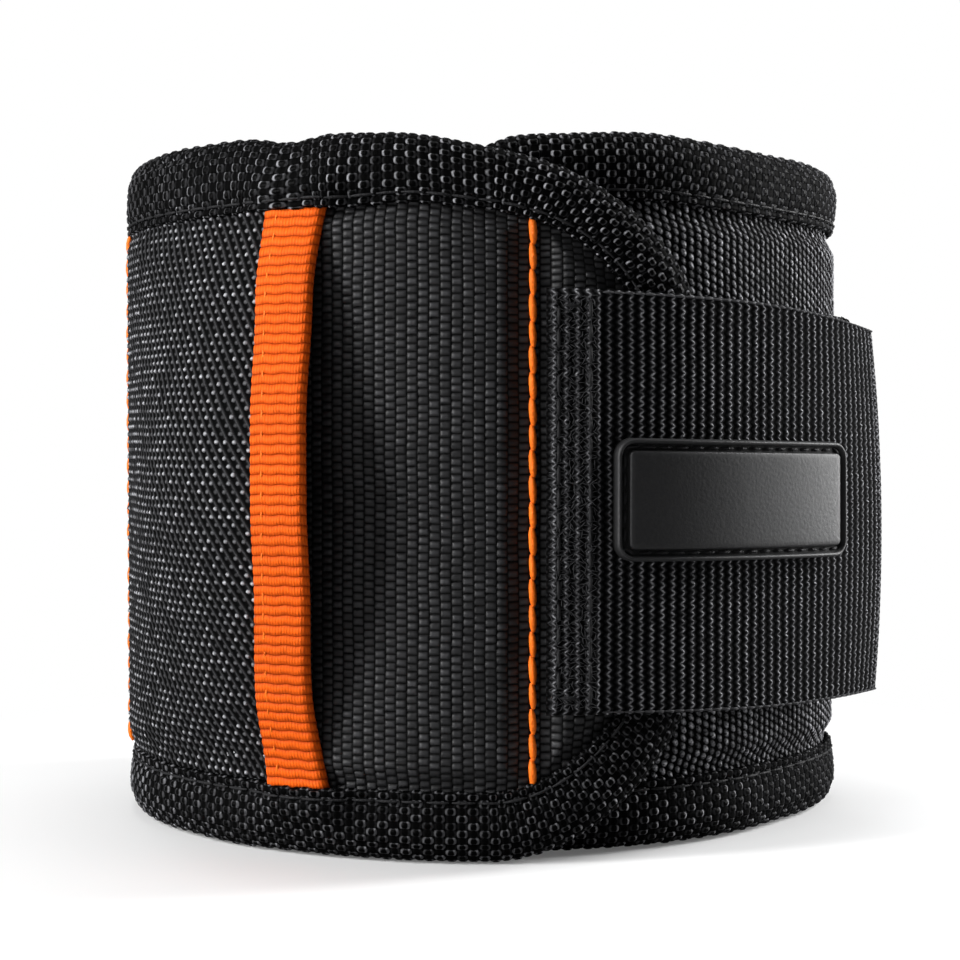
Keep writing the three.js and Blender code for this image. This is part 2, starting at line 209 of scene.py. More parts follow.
@dataclass(frozen=True)
class Weave:
    """Relief of a woven or knitted cloth.

    Attributes:
        kind: Structure of the cloth.
        across: Repeat along u in mm.
        up: Repeat along v in mm.
        depth: Height of the relief in mm.
        seed: Seed of its irregularities.
        drift: How far its yarns wander in mm.
    """

    kind: WeaveKind
    across: float
    up: float
    depth: float
    seed: int
    drift: float = 0.09

    def drifted(self, u: Array, v: Array) -> tuple[Array, Array]:
        """Places on the cloth after the drift of its yarns, in mm."""
        along = u + self.drift * wobble(u, v, 5.0, self.seed)
        return along, v + self.drift * wobble(u, v, 4.0, self.seed + 1)

    def height(self, u: Value, v: Value) -> Value:
        """Relief at places on the cloth.

        Args:
            u, v: Places in mm, as numbers or as shader values.

        Returns:
            Heights from 0, in the hollows, to 1, on the yarns.
        """
        shapes = {
            WeaveKind.BASKET: self._basket,
            WeaveKind.TAPE: self._tape,
            WeaveKind.COLUMN: self._column,
            WeaveKind.ZIGZAG: self._zigzag,
            WeaveKind.KNIT: self._knit,
            WeaveKind.RIB: self._rib,
            WeaveKind.AIR_MESH: self._air_mesh,
        }
        return unit(shapes[self.kind](u * (1 / self.across), v * (1 / self.up)))

    def painted_highlight(self, u: Value, v: Value) -> Value:
        """Mask of the highlight painted into the colour: the rims of a tape's floats, stronger at one end, or
        else the crests.

        Args:
            u, v: Places in mm, as numbers or as shader values.

        Returns:
            Values from 0 to 1.
        """
        if self.kind is not WeaveKind.TAPE:
            return self.height(u, v)
        a, b, over, chance = self._checks(u * (1 / self.across), v * (1 / self.up))
        # Painted highlight on the ends and sides of each float, one end lit more than the other.
        end = (np.abs(a) + 0.34 * b * b - 0.8) * (1 / 0.32)
        side = (b - 0.84) * (1 / 0.16)
        ends = unit(1.0 - end * end) * (0.45 + 0.55 * unit(0.5 + a))
        rim = np.maximum(ends, 0.2 * unit(1.0 - side * side) * unit(1.4 - 1.6 * np.abs(a)))
        return rim * (0.35 + 0.65 * chance) * (0.15 + 0.85 * over)

    def _staggered(self, along: Value, across: Value) -> tuple[Value, Value, Value]:
        """Cells in columns, each column half a step off the last.

        Args:
            along: Place along the columns, in repeats.
            across: Place across them.

        Returns:
            Places along and across a cell, from -1 to 1, and a random value of the cell.
        """
        column = np.floor(across)
        lift = along + fraction(column * 0.5)
        row = np.floor(lift)
        return 2.0 * (lift - row) - 1.0, 2.0 * (across - column) - 1.0, scatter(column, row, self.seed)

    def _basket(self, x: Value, y: Value) -> Value:
        """Columns of short level floats.

        Args:
            x, y: Places in repeats.

        Returns:
            Heights.
        """
        b, a, chance = self._staggered(y, x)
        bar = 1.0 - np.abs(b) ** 3.0
        ends = 1.0 - np.abs(a) ** 7.0
        return (0.65 + 0.35 * chance) * bar * (0.12 + 0.88 * ends)

    def _tape(self, x: Value, y: Value) -> Value:
        """Plain weave, with each float over or under its neighbours."""
        a, b, over, chance = self._checks(x, y)
        return (1.0 - np.abs(a) ** 4.0) * (1.0 - 0.8 * b**4.0) * (0.35 + (0.45 + 0.2 * chance) * over)

    def _checks(self, x: Value, y: Value) -> tuple[Value, Value, Value, Value]:
        """Cells of a plain weave.

        Args:
            x, y: Places in repeats.

        Returns:
            Place across a cell, from -1 to 1, distance up from its middle, from 0 to 1, whether its
            float lies over, and a random value of the cell.
        """
        column, row = np.floor(x), np.floor(y)
        across, up = 2.0 * (x - column) - 1.0, np.abs(2.0 * (y - row) - 1.0)
        return across, up, 2.0 * fraction(0.5 * (column + row)), scatter(column, row, self.seed)

    def _column(self, x: Value, y: Value) -> Value:
        """Columns of slanted knots.

        Args:
            x, y: Places in repeats.

        Returns:
            Heights.
        """
        b, a, chance = self._staggered(y, x)
        a = a + 0.3 * b
        return (0.5 + 0.5 * chance) * np.maximum(1.0 - 1.5 * a * a - 0.8 * b * b, 0.0) ** 0.7

    def _zigzag(self, x: Value, y: Value) -> Value:
        """Thin upright zigzag threads over a ribbed ground.

        Args:
            x, y: Places in repeats.

        Returns:
            Heights.
        """
        bend = np.abs(2.0 * fraction(y) - 1.0) - 0.5
        off = np.abs(2.0 * fraction(x + 0.3 * bend) - 1.0)
        thread = np.maximum(1.0 - 2.7 * off, 0.0) ** 0.5
        knot = 0.6 + 0.4 * np.abs(np.sin(2.0 * math.pi * y))
        chance = scatter(np.floor(x), np.floor(2.0 * y), self.seed)
        return np.maximum(0.25 * (1.0 - off * off), thread * knot * (0.6 + 0.4 * chance))

    def _knit(self, x: Value, y: Value) -> Value:
        """Small round knots on a slanted grid, over loose cross threads.

        Args:
            x, y: Places in repeats.

        Returns:
            Heights.
        """
        a, b, chance = self._staggered(x, y)
        knot = np.sqrt(np.maximum(1.0 - 2.8 * a * a - 2.4 * b * b, 0.0))
        thread = 0.4 * (1.0 - np.abs(np.sin(math.pi * (x + 0.5 * y))))
        return np.maximum(knot * (0.35 + 0.65 * chance), thread)

    def _rib(self, x: Value, y: Value) -> Value:
        """Level ribs with narrow wavy grooves, crossed by fine warp threads."""
        rib = np.abs(np.sin(math.pi * (y + 0.05 * np.sin(x * 0.9)))) ** 0.45
        return rib * (0.9 + 0.1 * np.cos(2.0 * math.pi * x))

    def _air_mesh(self, x: Value, y: Value) -> Value:
        """Spacer mesh with round holes on a slanted grid."""
        a, b, _ = self._staggered(x, y)
        return 0.15 + 0.85 * smooth(np.sqrt(a * a + b * b), 0.4, 0.84)


@dataclass(frozen=True)
class Finish:
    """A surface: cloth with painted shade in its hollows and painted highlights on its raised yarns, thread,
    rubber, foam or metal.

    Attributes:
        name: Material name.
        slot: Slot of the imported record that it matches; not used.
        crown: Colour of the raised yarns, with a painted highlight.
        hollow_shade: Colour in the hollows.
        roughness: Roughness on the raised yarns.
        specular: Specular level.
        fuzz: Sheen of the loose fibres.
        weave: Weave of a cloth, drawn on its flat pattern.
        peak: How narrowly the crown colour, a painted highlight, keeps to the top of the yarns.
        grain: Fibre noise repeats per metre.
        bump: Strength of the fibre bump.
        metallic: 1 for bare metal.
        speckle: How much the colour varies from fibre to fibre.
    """

    name: str
    slot: str
    crown: Colour
    hollow_shade: Colour
    roughness: float
    specular: float = 0.4
    fuzz: float = 0.0
    weave: Weave | None = None
    peak: float = 1.5
    grain: tuple[float, float] = (2600.0, 2600.0)
    bump: float = 0.25
    metallic: float = 0.0
    speckle: float = 0.16

    def material(self) -> bpy.types.Material:
        """The finish as a node material, made once."""
        made = bpy.data.materials.get(self.name)
        return made if made else self._build()

    def _relief(self, tree: Tree, flat: Socket) -> tuple[Wire, Wire]:
        """Takes the relief from the weave's formulas, or else from the mesh.

        Args:
            tree: Tree of the material.
            flat: Place on the cloth in metres.

        Returns:
            Weave height, and the mask of the painted highlight.
        """
        if not self.weave:
            attribute = tree.nodes.new("ShaderNodeAttribute")
            attribute.attribute_name = "relief"
            relief = Wire(tree, attribute.outputs["Fac"])
            return relief, relief
        split = tree.nodes.new("ShaderNodeSeparateXYZ")
        tree.links.new(flat, split.inputs[0])
        u, v = (Wire(tree, split.outputs[k]) * (1 / MM) for k in (0, 1))
        return self.weave.height(u, v), self.weave.painted_highlight(u, v)

    def _noise(self, tree: Tree, place: Socket, scale: Sequence[float]) -> Wire:
        """Adds noise to a material.

        Args:
            tree: Tree of the material.
            place: Where the noise is read.
            scale: Repeats per metre in two directions.

        Returns:
            Values from about -1 to 1.
        """
        stretch, noise = tree.nodes.new("ShaderNodeMapping"), tree.nodes.new("ShaderNodeTexNoise")
        stretch.inputs["Scale"].default_value = (*scale, scale[0])
        noise.inputs["Scale"].default_value = 1.0
        noise.inputs["Detail"].default_value = 4.0
        tree.links.new(place, stretch.inputs["Vector"])
        tree.links.new(stretch.outputs["Vector"], noise.inputs["Vector"])
        return (Wire(tree, noise.outputs["Fac"]) - 0.5) * 4.0

    def _build(self) -> bpy.types.Material:
        """Builds the node material.

        Returns:
            The material.
        """
        material = bpy.data.materials.new(self.name)
        material.use_nodes = True
        tree = material.node_tree
        nodes, links = tree.nodes, tree.links
        shader = nodes["Principled BSDF"]
        shader.inputs["Metallic"].default_value = self.metallic
        shader.inputs["Specular IOR Level"].default_value = self.specular
        shader.inputs["Sheen Weight"].default_value = self.fuzz
        shader.inputs["Sheen Roughness"].default_value = 0.4
        pattern, place = nodes.new("ShaderNodeUVMap"), nodes.new("ShaderNodeTexCoord")
        pattern.uv_map = "flat"
        flat = pattern.outputs["UV"] if self.weave else place.outputs["Object"]
        relief, painted_highlight = self._relief(tree, flat)
        fibres = self._noise(tree, flat, self.grain)
        wear = self._noise(tree, place.outputs["Object"], (70.0, 70.0))

        # Painted light and shade: the colour runs from the hollow's painted shade to the crown's painted
        # highlight along the highlight mask.
        painted_light_mix = nodes.new("ShaderNodeMix")
        painted_light_mix.data_type = "RGBA"
        painted_light_mix.inputs["A"].default_value = (*self.hollow_shade, 1)
        painted_light_mix.inputs["B"].default_value = (*self.crown, 1)
        links.new((painted_highlight ** self.peak).socket, painted_light_mix.inputs["Factor"])
        colour = nodes.new("ShaderNodeVectorMath")
        colour.operation = "SCALE"
        links.new(painted_light_mix.outputs["Result"], colour.inputs["Vector"])
        shade = np.maximum(1.0 + self.speckle * fibres, 0.1) * (1.0 + 0.1 * wear)
        links.new(shade.socket, colour.inputs["Scale"])
        links.new(colour.outputs["Vector"], shader.inputs["Base Color"])
        dull = self.roughness + (0.95 - self.roughness) * (1.0 - smooth(relief, 0.1, 0.7))
        links.new(unit(dull * (1.0 + 0.12 * fibres)).socket, shader.inputs["Roughness"])

        normal = None
        steps = [(fibres, self.bump, 0.0001)]
        if self.weave:
            steps.append((relief, 1.0, 0.8 * self.weave.depth * MM))
        for height, strength, distance in steps:
            bump = nodes.new("ShaderNodeBump")
            bump.inputs["Strength"].default_value = strength
            bump.inputs["Distance"].default_value = distance
            links.new(height.socket, bump.inputs["Height"])
            if normal:
                links.new(normal, bump.inputs["Normal"])
            normal = bump.outputs["Normal"]
        links.new(normal, shader.inputs["Normal"])
        return material


def black(level: float) -> Colour:
    """A black with a faint cool cast."""
    return level, level, 1.06 * level


PANEL_WEAVE = Weave(WeaveKind.BASKET, 1.37, 1.0, 0.3, 11)
REAR_WEAVE = Weave(WeaveKind.COLUMN, 1.2, 1.05, 0.34, 21)
LINING_WEAVE = Weave(WeaveKind.AIR_MESH, 2.6, 2.25, 0.5, 31)
TAPE_WEAVE = Weave(WeaveKind.TAPE, 1.4, 0.9, 0.32, 51)
MESH_WEAVE = Weave(WeaveKind.KNIT, 1.3, 1.02, 0.36, 61)
RIBBON_WEAVE = Weave(WeaveKind.RIB, 0.42, 1.22, 0.24, 71)
STRAP_WEAVE = Weave(WeaveKind.ZIGZAG, 1.36, 0.93, 0.3, 81)
GROUND_WEAVE = Weave(WeaveKind.KNIT, 1.1, 0.9, 0.12, 91)

# For cloth, foam, hook tape and rubber the first colour carries a painted highlight on the raised parts and
# the second painted shade in the low parts; threads show only their first colour.
NYLON = Finish(
    "woven_nylon", "ballistic_nylon", black(0.044), black(0.001), roughness=0.4, specular=0.2,
    weave=PANEL_WEAVE, peak=2.0, grain=(700, 5200),
)
TAPE = Finish(
    "woven_tape", "binding_tape", black(0.25), black(0.0005), roughness=0.4, specular=0.03,
    weave=TAPE_WEAVE, peak=1.4, grain=(5200, 1300), speckle=0.6,
)
WEBBING = Finish(
    "zigzag_webbing", "webbing", black(0.42), black(0.0005), roughness=0.4, specular=0.03,
    weave=STRAP_WEAVE, peak=2.2, grain=(5200, 1600), speckle=0.6,
)
KNIT = Finish(
    "brushed_knit", "loop_knit", black(0.38), black(0.0006), roughness=0.4, specular=0.04,
    weave=REAR_WEAVE, peak=2.4, grain=(3200, 3200), speckle=1.5,
)
MESH = Finish(
    "knitted_mesh", "pocket_mesh", black(0.5), black(0.001), roughness=0.4, specular=0.05,
    weave=MESH_WEAVE, peak=2.6, grain=(4200, 4200), speckle=0.6,
)
LINING = Finish(
    "air_lining", "lining", black(0.05), black(0.006), roughness=0.7, specular=0.2, fuzz=0.05,
    weave=LINING_WEAVE, grain=(3600, 3600),
)
RIBBON = Finish(
    "ribbed_ribbon", "orange_ribbon", (0.95, 0.135, 0.006), (0.3, 0.024, 0.001), roughness=0.6, specular=0.1,
    weave=RIBBON_WEAVE, peak=1.2, grain=(5200, 900),
)
ORANGE_THREAD = Finish(
    "orange_thread", "orange_ribbon", (0.95, 0.18, 0.01), (0.45, 0.06, 0.004), roughness=0.5, specular=0.2,
    bump=0.5,
)
BLACK_THREAD = Finish(
    "black_thread", "binding_tape", black(0.02), black(0.004), roughness=0.5, specular=0.1, bump=0.5
)
FUZZ = Finish("strap_fuzz", "webbing", black(0.055), black(0.01), roughness=0.6, specular=0.1)
HOOK = Finish("hook_plastic", "hook_tape", black(0.024), black(0.01), roughness=0.45, specular=0.5)
RUBBER = Finish(
    "satin_rubber", "badge_rubber", black(0.018), black(0.004), roughness=0.5, specular=0.3,
    grain=(2400, 2400), bump=0.1,
)
FOAM = Finish(
    "open_foam", "foam", black(0.1), black(0.06), roughness=0.9, specular=0.2, grain=(1600, 1600), bump=0.6
)
NICKEL = Finish(
    "magnet_nickel", "magnet", (0.56, 0.56, 0.55), (0.5, 0.5, 0.5), roughness=0.28,
    grain=(900, 900), bump=0.05, metallic=1.0,
)


@dataclass
class BandPath:
    """Plan line of the band's outer face, from the tucked end round to the strap's free end.

    Attributes:
        half_width, half_depth: Half sizes of the loop in mm.
        layer_pitch: Step from one layer of the band to the next in mm.
        under_end, tuck_end, tuck_start, strap_end: Angles in degrees, 0 at the front.
        right_seam: Angle of the seam between the magnet panel and the tongue.
        height: Height of the band in mm.
        top_droop, droop_run, droop_depth: Droop of the top edge at that seam, the run before it
            over which it grows, and how far down it is felt, in mm.
        shift: Place of the loop's centre in the part's frame in mm.
        samples: Points that the line is tabulated at.
    """

    half_width: float = 50.8
    half_depth: float = 43.0
    layer_pitch: float = 4.9
    under_end: float = -8.0
    tuck_end: float = 55.0
    tuck_start: float = 100.0
    strap_end: float = 437.0
    right_seam: float = 367.0
    height: float = 90.0
    top_droop: float = 3.0
    droop_run: float = 19.0
    droop_depth: float = 21.0
    shift: tuple[float, float] = (-2.26901, 2.07425)
    samples: int = 14401

    def __post_init__(self) -> None:
        """Tabulates the line."""
        self.degrees = np.linspace(self.under_end, self.strap_end, self.samples)
        angle = np.radians(self.degrees)
        tuck = self.layer_pitch * (1 - smooth(self.degrees, self.tuck_end, self.tuck_start))
        self.x = (self.half_width - tuck) * np.sin(angle)
        self.y = -(self.half_depth - tuck) * np.cos(angle)
        self.s = travelled(places(self.x, self.y))
        tangent_x, tangent_y = np.gradient(self.x, self.s), np.gradient(self.y, self.s)
        length = np.hypot(tangent_x, tangent_y)
        self.tangent_x, self.tangent_y = tangent_x / length, tangent_y / length

    def arc(self, degrees: float) -> float:
        """Length along the line at an angle."""
        return float(np.interp(degrees, self.degrees, self.s))

    def tangent(self, s: Array | float) -> tuple[Array, Array]:
        """Direction of the line."""
        return np.interp(s, self.s, self.tangent_x), np.interp(s, self.s, self.tangent_y)

    def wrap(self, s: Array, o: Array, z: Array) -> Array:
        """Wraps flat points round the loop.

        Args:
            s, o, z: Flat places in mm.

        Returns:
            Points in metres, in the part's frame.
        """
        tx, ty = self.tangent(s)
        x = np.interp(s, self.s, self.x) + ty * o + self.shift[0]
        y = np.interp(s, self.s, self.y) - tx * o + self.shift[1]
        seam = self.arc(self.right_seam)
        along = smooth(s, seam - self.droop_run, seam)
        z = z - self.top_droop * along * smooth(z, self.height - self.droop_depth, self.height)
        return places(x, y, z) * MM


@dataclass
class BandPattern:
    """Flat pattern shared by the pieces, in mm and degrees.

    A stitched line draws a face in by pinch_drop, and the face comes back over pinch_run. The mesh sinks
    under the bindings by tuck_drop, from tuck_reach at the seam and from tuck_spread farther in at the
    mouth. The strap's free end stands off by strap_lift.
    """

    path: BandPath = field(default_factory=BandPath)
    thickness: float = 4.4
    lining: float = 1.0
    shell: float = 0.8
    clearance: float = 0.3
    pinch_drop: float = 1.15
    pinch_end: float = 9.1
    pinch_run: float = 3.0
    seam_flat: float = 1.2
    binding_width: float = 8.8
    corner: float = 13.0
    left_angle: float = 280.5
    mouth_angle: float = 337.75
    split_lead: float = 6.0
    tongue_lead: float = 5.6
    tongue_length: float = 33.0
    seam_clear: float = 4.5
    foam_inset: float = 12.4
    ribbon_width: float = 7.6
    pocket_bulge: float = 5.0
    pocket_rise: float = 1.2
    pocket_ends: float = 18.8
    tuck_reach: float = 12.6
    tuck_spread: float = 8.4
    tuck_drop: float = 0.7
    strap_lead: float = 1.35
    anchor_length: float = 6.05
    webbing: float = 1.4
    strap_width: float = 51.7
    strap_end_width: float = 50.1
    strap_drop: float = 0.75
    strap_sag: float = 2.25
    strap_lift: float = 4.3
    strap_twist: float = 0.4
    strap_bow: float = 1.2

    def __post_init__(self) -> None:
        """Places that follow from the sizes."""
        self.height = self.path.height
        self.mid = self.height / 2
        self.crown = self.pinch_end + self.pinch_run
        self.left_seam = self.path.arc(self.left_angle)
        self.right_seam = self.path.arc(self.path.right_seam)
        self.mouth = self.path.arc(self.mouth_angle)
        self.split = self.mouth - self.split_lead
        self.tongue_start = self.right_seam - self.tongue_lead
        self.tongue_tip = self.tongue_start + self.tongue_length
        self.anchor_start = self.right_seam + self.strap_lead
        self.hinge = self.anchor_start + self.anchor_length
        self.strap_end = float(self.path.s[-1])
        turned = (self.tongue_tip - self.right_seam) / (self.strap_end - self.right_seam)
        self.tip_degrees = self.path.right_seam + turned * (self.path.strap_end - self.path.right_seam) - 360

    def front_half(self, s: Array, inset: float) -> Array:
        """Half height of the front and tongue outline, set in."""
        past = np.clip((s - self.tongue_start) / (self.tongue_length - inset), 0, 1)
        return (self.mid - inset) * np.sqrt(1 - past * past)

    def rear_half(self, s: Array, inset: float) -> Array:
        """Half height of the rear outline with its rounded corners.

        Args:
            s: Stations along the band.
            inset: How far the outline is set in.

        Returns:
            Half heights.
        """
        radius = max(self.corner - inset, 0.5)
        into = np.clip(radius + inset - s, 0, radius)
        return self.mid - inset - radius + np.sqrt(np.clip(radius * radius - into * into, 0, None))

    def pinch(self, distance: Array, flat: float) -> Array:
        """How far a face is drawn in at a distance from a stitched line, 1 at the line."""
        return 1 - smooth(distance, flat, flat + self.pinch_run)

    def front_pinch(self, s: Array) -> Array:
        """Drawing in along the front and tongue.

        Args:
            s: Stations along the band.

        Returns:
            Shares from 0 to 1.
        """
        right = self.pinch(np.abs(s - self.right_seam), self.seam_flat)
        tip = self.pinch(self.tongue_tip - s, self.pinch_end)
        return np.maximum(right, tip)

    def rear_pinch(self, s: Array) -> Array:
        """Drawing in along the rear panel."""
        left = self.pinch(np.abs(s - self.left_seam), self.seam_flat)
        return np.maximum(left, self.pinch(s, self.pinch_end))

    def pocket_face(self, s: Array, z: Array) -> Array:
        """Offset of the pocket mesh's inner face, bowed out at the middle of its mouth.

        Args:
            s, z: Flat places.

        Returns:
            Offsets.
        """
        drawn = self.pinch_drop * self.pinch(np.abs(s - self.left_seam), self.seam_flat)
        raised = smooth(s, self.left_seam + self.seam_clear, self.mouth - self.ribbon_width)
        open_share = np.cos(np.pi * (z - self.mid) / (self.height - self.pocket_ends))
        base = (self.clearance - drawn) * (1 - raised) + self.pocket_rise * raised
        sinking = self.mid - self.tuck_reach - self.tuck_spread * raised
        edge = smooth(np.abs(z - self.mid), sinking, self.mid - self.binding_width)
        return base + self.pocket_bulge * raised * open_share**2 - edge * (base + self.tuck_drop)

    def strap_centre(self, s: Array) -> Array:
        """Height of the strap's middle, which sags towards its free end."""
        share = np.clip((s - self.anchor_start) / (self.strap_end - self.anchor_start), 0, 1)
        return self.mid - self.strap_drop - self.strap_sag * share**1.5

    def strap_half(self, s: Array) -> Array:
        """Half width of the strap."""
        narrow = smooth(s, self.tongue_tip, self.strap_end)
        return (self.strap_width + (self.strap_end_width - self.strap_width) * narrow) / 2

    def strap_face(self, s: Array, z: Array) -> Array:
        """Offset of the strap's inner face.

        Args:
            s, z: Flat places.

        Returns:
            Offsets.
        """
        free = np.clip((s - self.tongue_tip) / (self.strap_end - self.tongue_tip), 0, None)
        across = (z - self.strap_centre(s)) / self.strap_half(s)
        lift = self.strap_lift - self.strap_twist * across - self.strap_bow * across**2
        return self.clearance + free**2 * lift

    def strap_outer(self, s: Array, z: Array) -> Array:
        """Offset of the strap's outer face past its sewn end."""
        return self.strap_face(s, z) + self.webbing


def mesh_object(
    name: str, points: Array, quads: Array, caps: Sequence[Array], uv: Array, relief: Array
) -> Piece:
    """Makes a smooth object from arrays.

    Args:
        name: Name of the piece.
        points: Points in metres.
        quads: Four point numbers for each face.
        caps: Point numbers of each end face.
        uv: Flat place of each point in metres.
        relief: Weave height of each point.

    Returns:
        The object, linked to the scene.
    """
    corners = np.concatenate([quads.ravel(), *caps]).astype(np.int32)
    sizes = [4] * len(quads) + [len(cap) for cap in caps]
    starts = np.cumsum([0, *sizes[:-1]]).astype(np.int32)
    mesh = bpy.data.meshes.new(name)
    mesh.vertices.add(len(points))
    mesh.vertices.foreach_set("co", points.astype(np.float32).ravel())
    mesh.loops.add(len(corners))
    mesh.loops.foreach_set("vertex_index", corners)
    mesh.polygons.add(len(starts))
    mesh.polygons.foreach_set("loop_start", starts)
    mesh.update(calc_edges=True)
    mesh.validate()
    layer = mesh.uv_layers.new(name="flat")
    layer.data.foreach_set("uv", uv[corners].astype(np.float32).ravel())
    attribute = mesh.attributes.new("relief", "FLOAT", "POINT")
    attribute.data.foreach_set("value", relief.astype(np.float32))
    mesh.shade_smooth()
    mesh.set_sharp_from_angle(angle=math.radians(70))
    made = bpy.data.objects.new(name, mesh)
    bpy.context.scene.collection.objects.link(made)
    return made


def weld(piece: Piece, distance: float, sharp: float, bridged: bool = False) -> None:
    """Closes a mesh and turns its faces outwards.

    Args:
        piece: Piece to close.
        distance: Points closer than this, in metres, become one.
        sharp: Least angle of a sharp edge in degrees.
        bridged: Whether its two open rims are joined.
    """
    work = bmesh.new()
    work.from_mesh(piece.data)
    bmesh.ops.remove_doubles(work, verts=work.verts, dist=distance)
    if bridged:
        bmesh.ops.bridge_loops(work, edges=[edge for edge in work.edges if edge.is_boundary])
    bmesh.ops.recalc_face_normals(work, faces=work.faces)
    work.to_mesh(piece.data)
    work.free()
    piece.data.set_sharp_from_angle(angle=math.radians(sharp))


@dataclass
class Skin:
    """Rings of flat points that make one closed piece.

    Attributes:
        s, o, z: Flat places, one row for each ring.
        u, v: Places on the cloth, for its pattern.
        relief: Weave height at each point.
    """

    s: Array
    o: Array
    z: Array
    u: Array
    v: Array
    relief: Array

    def make(self, name: str, path: BandPath) -> Piece:
        """Wraps the rings and joins them into a closed object.

        Args:
            name: Name of the piece.
            path: Line to wrap it round.

        Returns:
            The object.
        """
        rings, count = self.s.shape
        k, i = np.meshgrid(np.arange(rings - 1), np.arange(count), indexing="ij")
        a, b = k * count + i, k * count + (i + 1) % count
        quads = np.stack([a, a + count, b + count, b], axis=-1).reshape(-1, 4)
        last = (rings - 1) * count
        caps = [np.arange(count), last + np.arange(count)[::-1]]
        points = path.wrap(self.s, self.o, self.z).reshape(-1, 3)
        uv = places(self.u.ravel(), self.v.ravel()) * MM
        return mesh_object(name, points, quads, caps, uv, self.relief.ravel())


def slab(
    s: Array, z: Array, outer: Array, inner_z: Array, inner: Array, weave: Weave, woven_inside: bool = False
) -> Skin:
    """A panel between two faces, one of them woven.

    Args:
        s: Stations along the band.
        z, outer: Heights and offsets of the outer face, one row for each station.
        inner_z, inner: The same for the inner face.
        weave: Weave of the face that shows.
        woven_inside: Whether that is the inner face.

    Returns:
        The rings of the panel.
    """
    outer_u, outer_v = weave.drifted(s[:, None] + 0 * z, z)
    inner_u, inner_v = weave.drifted(s[:, None] + 0 * inner_z, inner_z)
    outer_relief, inner_relief = (np.full(face.shape, MEAN_RELIEF) for face in (z, inner_z))
    if woven_inside:
        inner_relief = weave.height(inner_u, inner_v)
        inner = inner - weave.depth * (inner_relief - MEAN_RELIEF)
    else:
        outer_relief = weave.height(outer_u, outer_v)
        outer = outer + weave.depth * (outer_relief - MEAN_RELIEF)

    def ring(first: Array, second: Array) -> Array:
        """Closes the rows of the two faces."""
        return np.concatenate([first, second[:, ::-1]], axis=1)

    heights = ring(z, inner_z)
    return Skin(
        s[:, None] + 0 * heights, ring(outer, inner), heights,
        ring(outer_u, inner_u), ring(outer_v, inner_v), ring(outer_relief, inner_relief),
    )


@dataclass
class Dresser:
    """Gives finished pieces their material, and a place on its body to each piece that rides one.

    Attributes:
        pattern: Flat pattern of the band.
        seam_reach, hinge_reach: Half lengths of the bends at the right seam and at the strap's hinge, in mm.
        left_turn: Direction of the bend at the left seam in degrees.
        left_rise, left_before, left_after: Offset of that bend, and how far it reaches to both sides, in mm.
    """

    pattern: BandPattern
    seam_reach: float = 6.0
    hinge_reach: float = 3.0
    left_turn: float = 50.0
    left_rise: float = 0.3
    left_before: float = 1.0
    left_after: float = 4.6

    def __post_init__(self) -> None:
        """Places where cloth bends from one body to the next."""
        path, pattern = self.pattern.path, self.pattern
        seam = path.wrap(pattern.right_seam, 0.0, pattern.mid)
        hinge = path.wrap(pattern.hinge, 0.0, pattern.mid)
        left = path.wrap(pattern.left_seam, self.left_rise, pattern.mid)
        turn = math.radians(self.left_turn)
        across = np.array([self.seam_reach, 0.0, 0.0]) * MM
        lead = np.array([*path.tangent(pattern.hinge), 0.0]) * self.hinge_reach * MM
        inward = np.array([math.cos(turn), math.sin(turn), 0.0]) * MM
        before, after = left - self.left_before * inward, left + self.left_after * inward
        self.bends = {
            Body.TONGUE: (Body.MAGNET_PANEL, seam - across, seam + across),
            Body.STRAP: (Body.TONGUE, hinge - lead, hinge + lead),
            Body.REAR_PANEL: (Body.MAGNET_PANEL, before, after),
        }

    def _finish(self, piece: Piece, finish: Finish, nodes: Sequence[str]) -> None:
        """Sets a piece's material and the solids it stands for.

        Args:
            piece: Piece to dress.
            finish: Its finish.
            nodes: Solids that it stands for.
        """
        piece.data.materials.clear()
        piece.data.materials.append(finish.material())
        if nodes:
            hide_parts(*nodes)
        triangles = sum(len(face.vertices) - 2 for face in piece.data.polygons)
        log.info("%s: %d triangles, %s", piece.name, triangles, finish.name)

    def ride(self, piece: Piece, body: Body, finish: Finish, *nodes: str) -> None:
        """Dresses a piece that moves with one body."""
        self._finish(piece, finish, nodes)
        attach(piece, body.value)

    def bend(self, piece: Piece, body: Body, finish: Finish, *nodes: str) -> None:
        """Dresses cloth that spans two bodies and bakes its place into its mesh, without a body to move with.

        Args:
            piece: Piece to dress.
            body: Body at the cloth's far end; not used.
            finish: Its finish.
            nodes: Solids that it stands for.
        """
        self._finish(piece, finish, nodes)
        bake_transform(piece)


@dataclass(frozen=True)
class Stitch:
    """Sizes of one laid thread and its step along a row, in mm, and its turn in degrees."""

    length: float
    thickness: float
    rise: float
    sink: float
    pitch: float = 0.0
    slant: float = 0.0


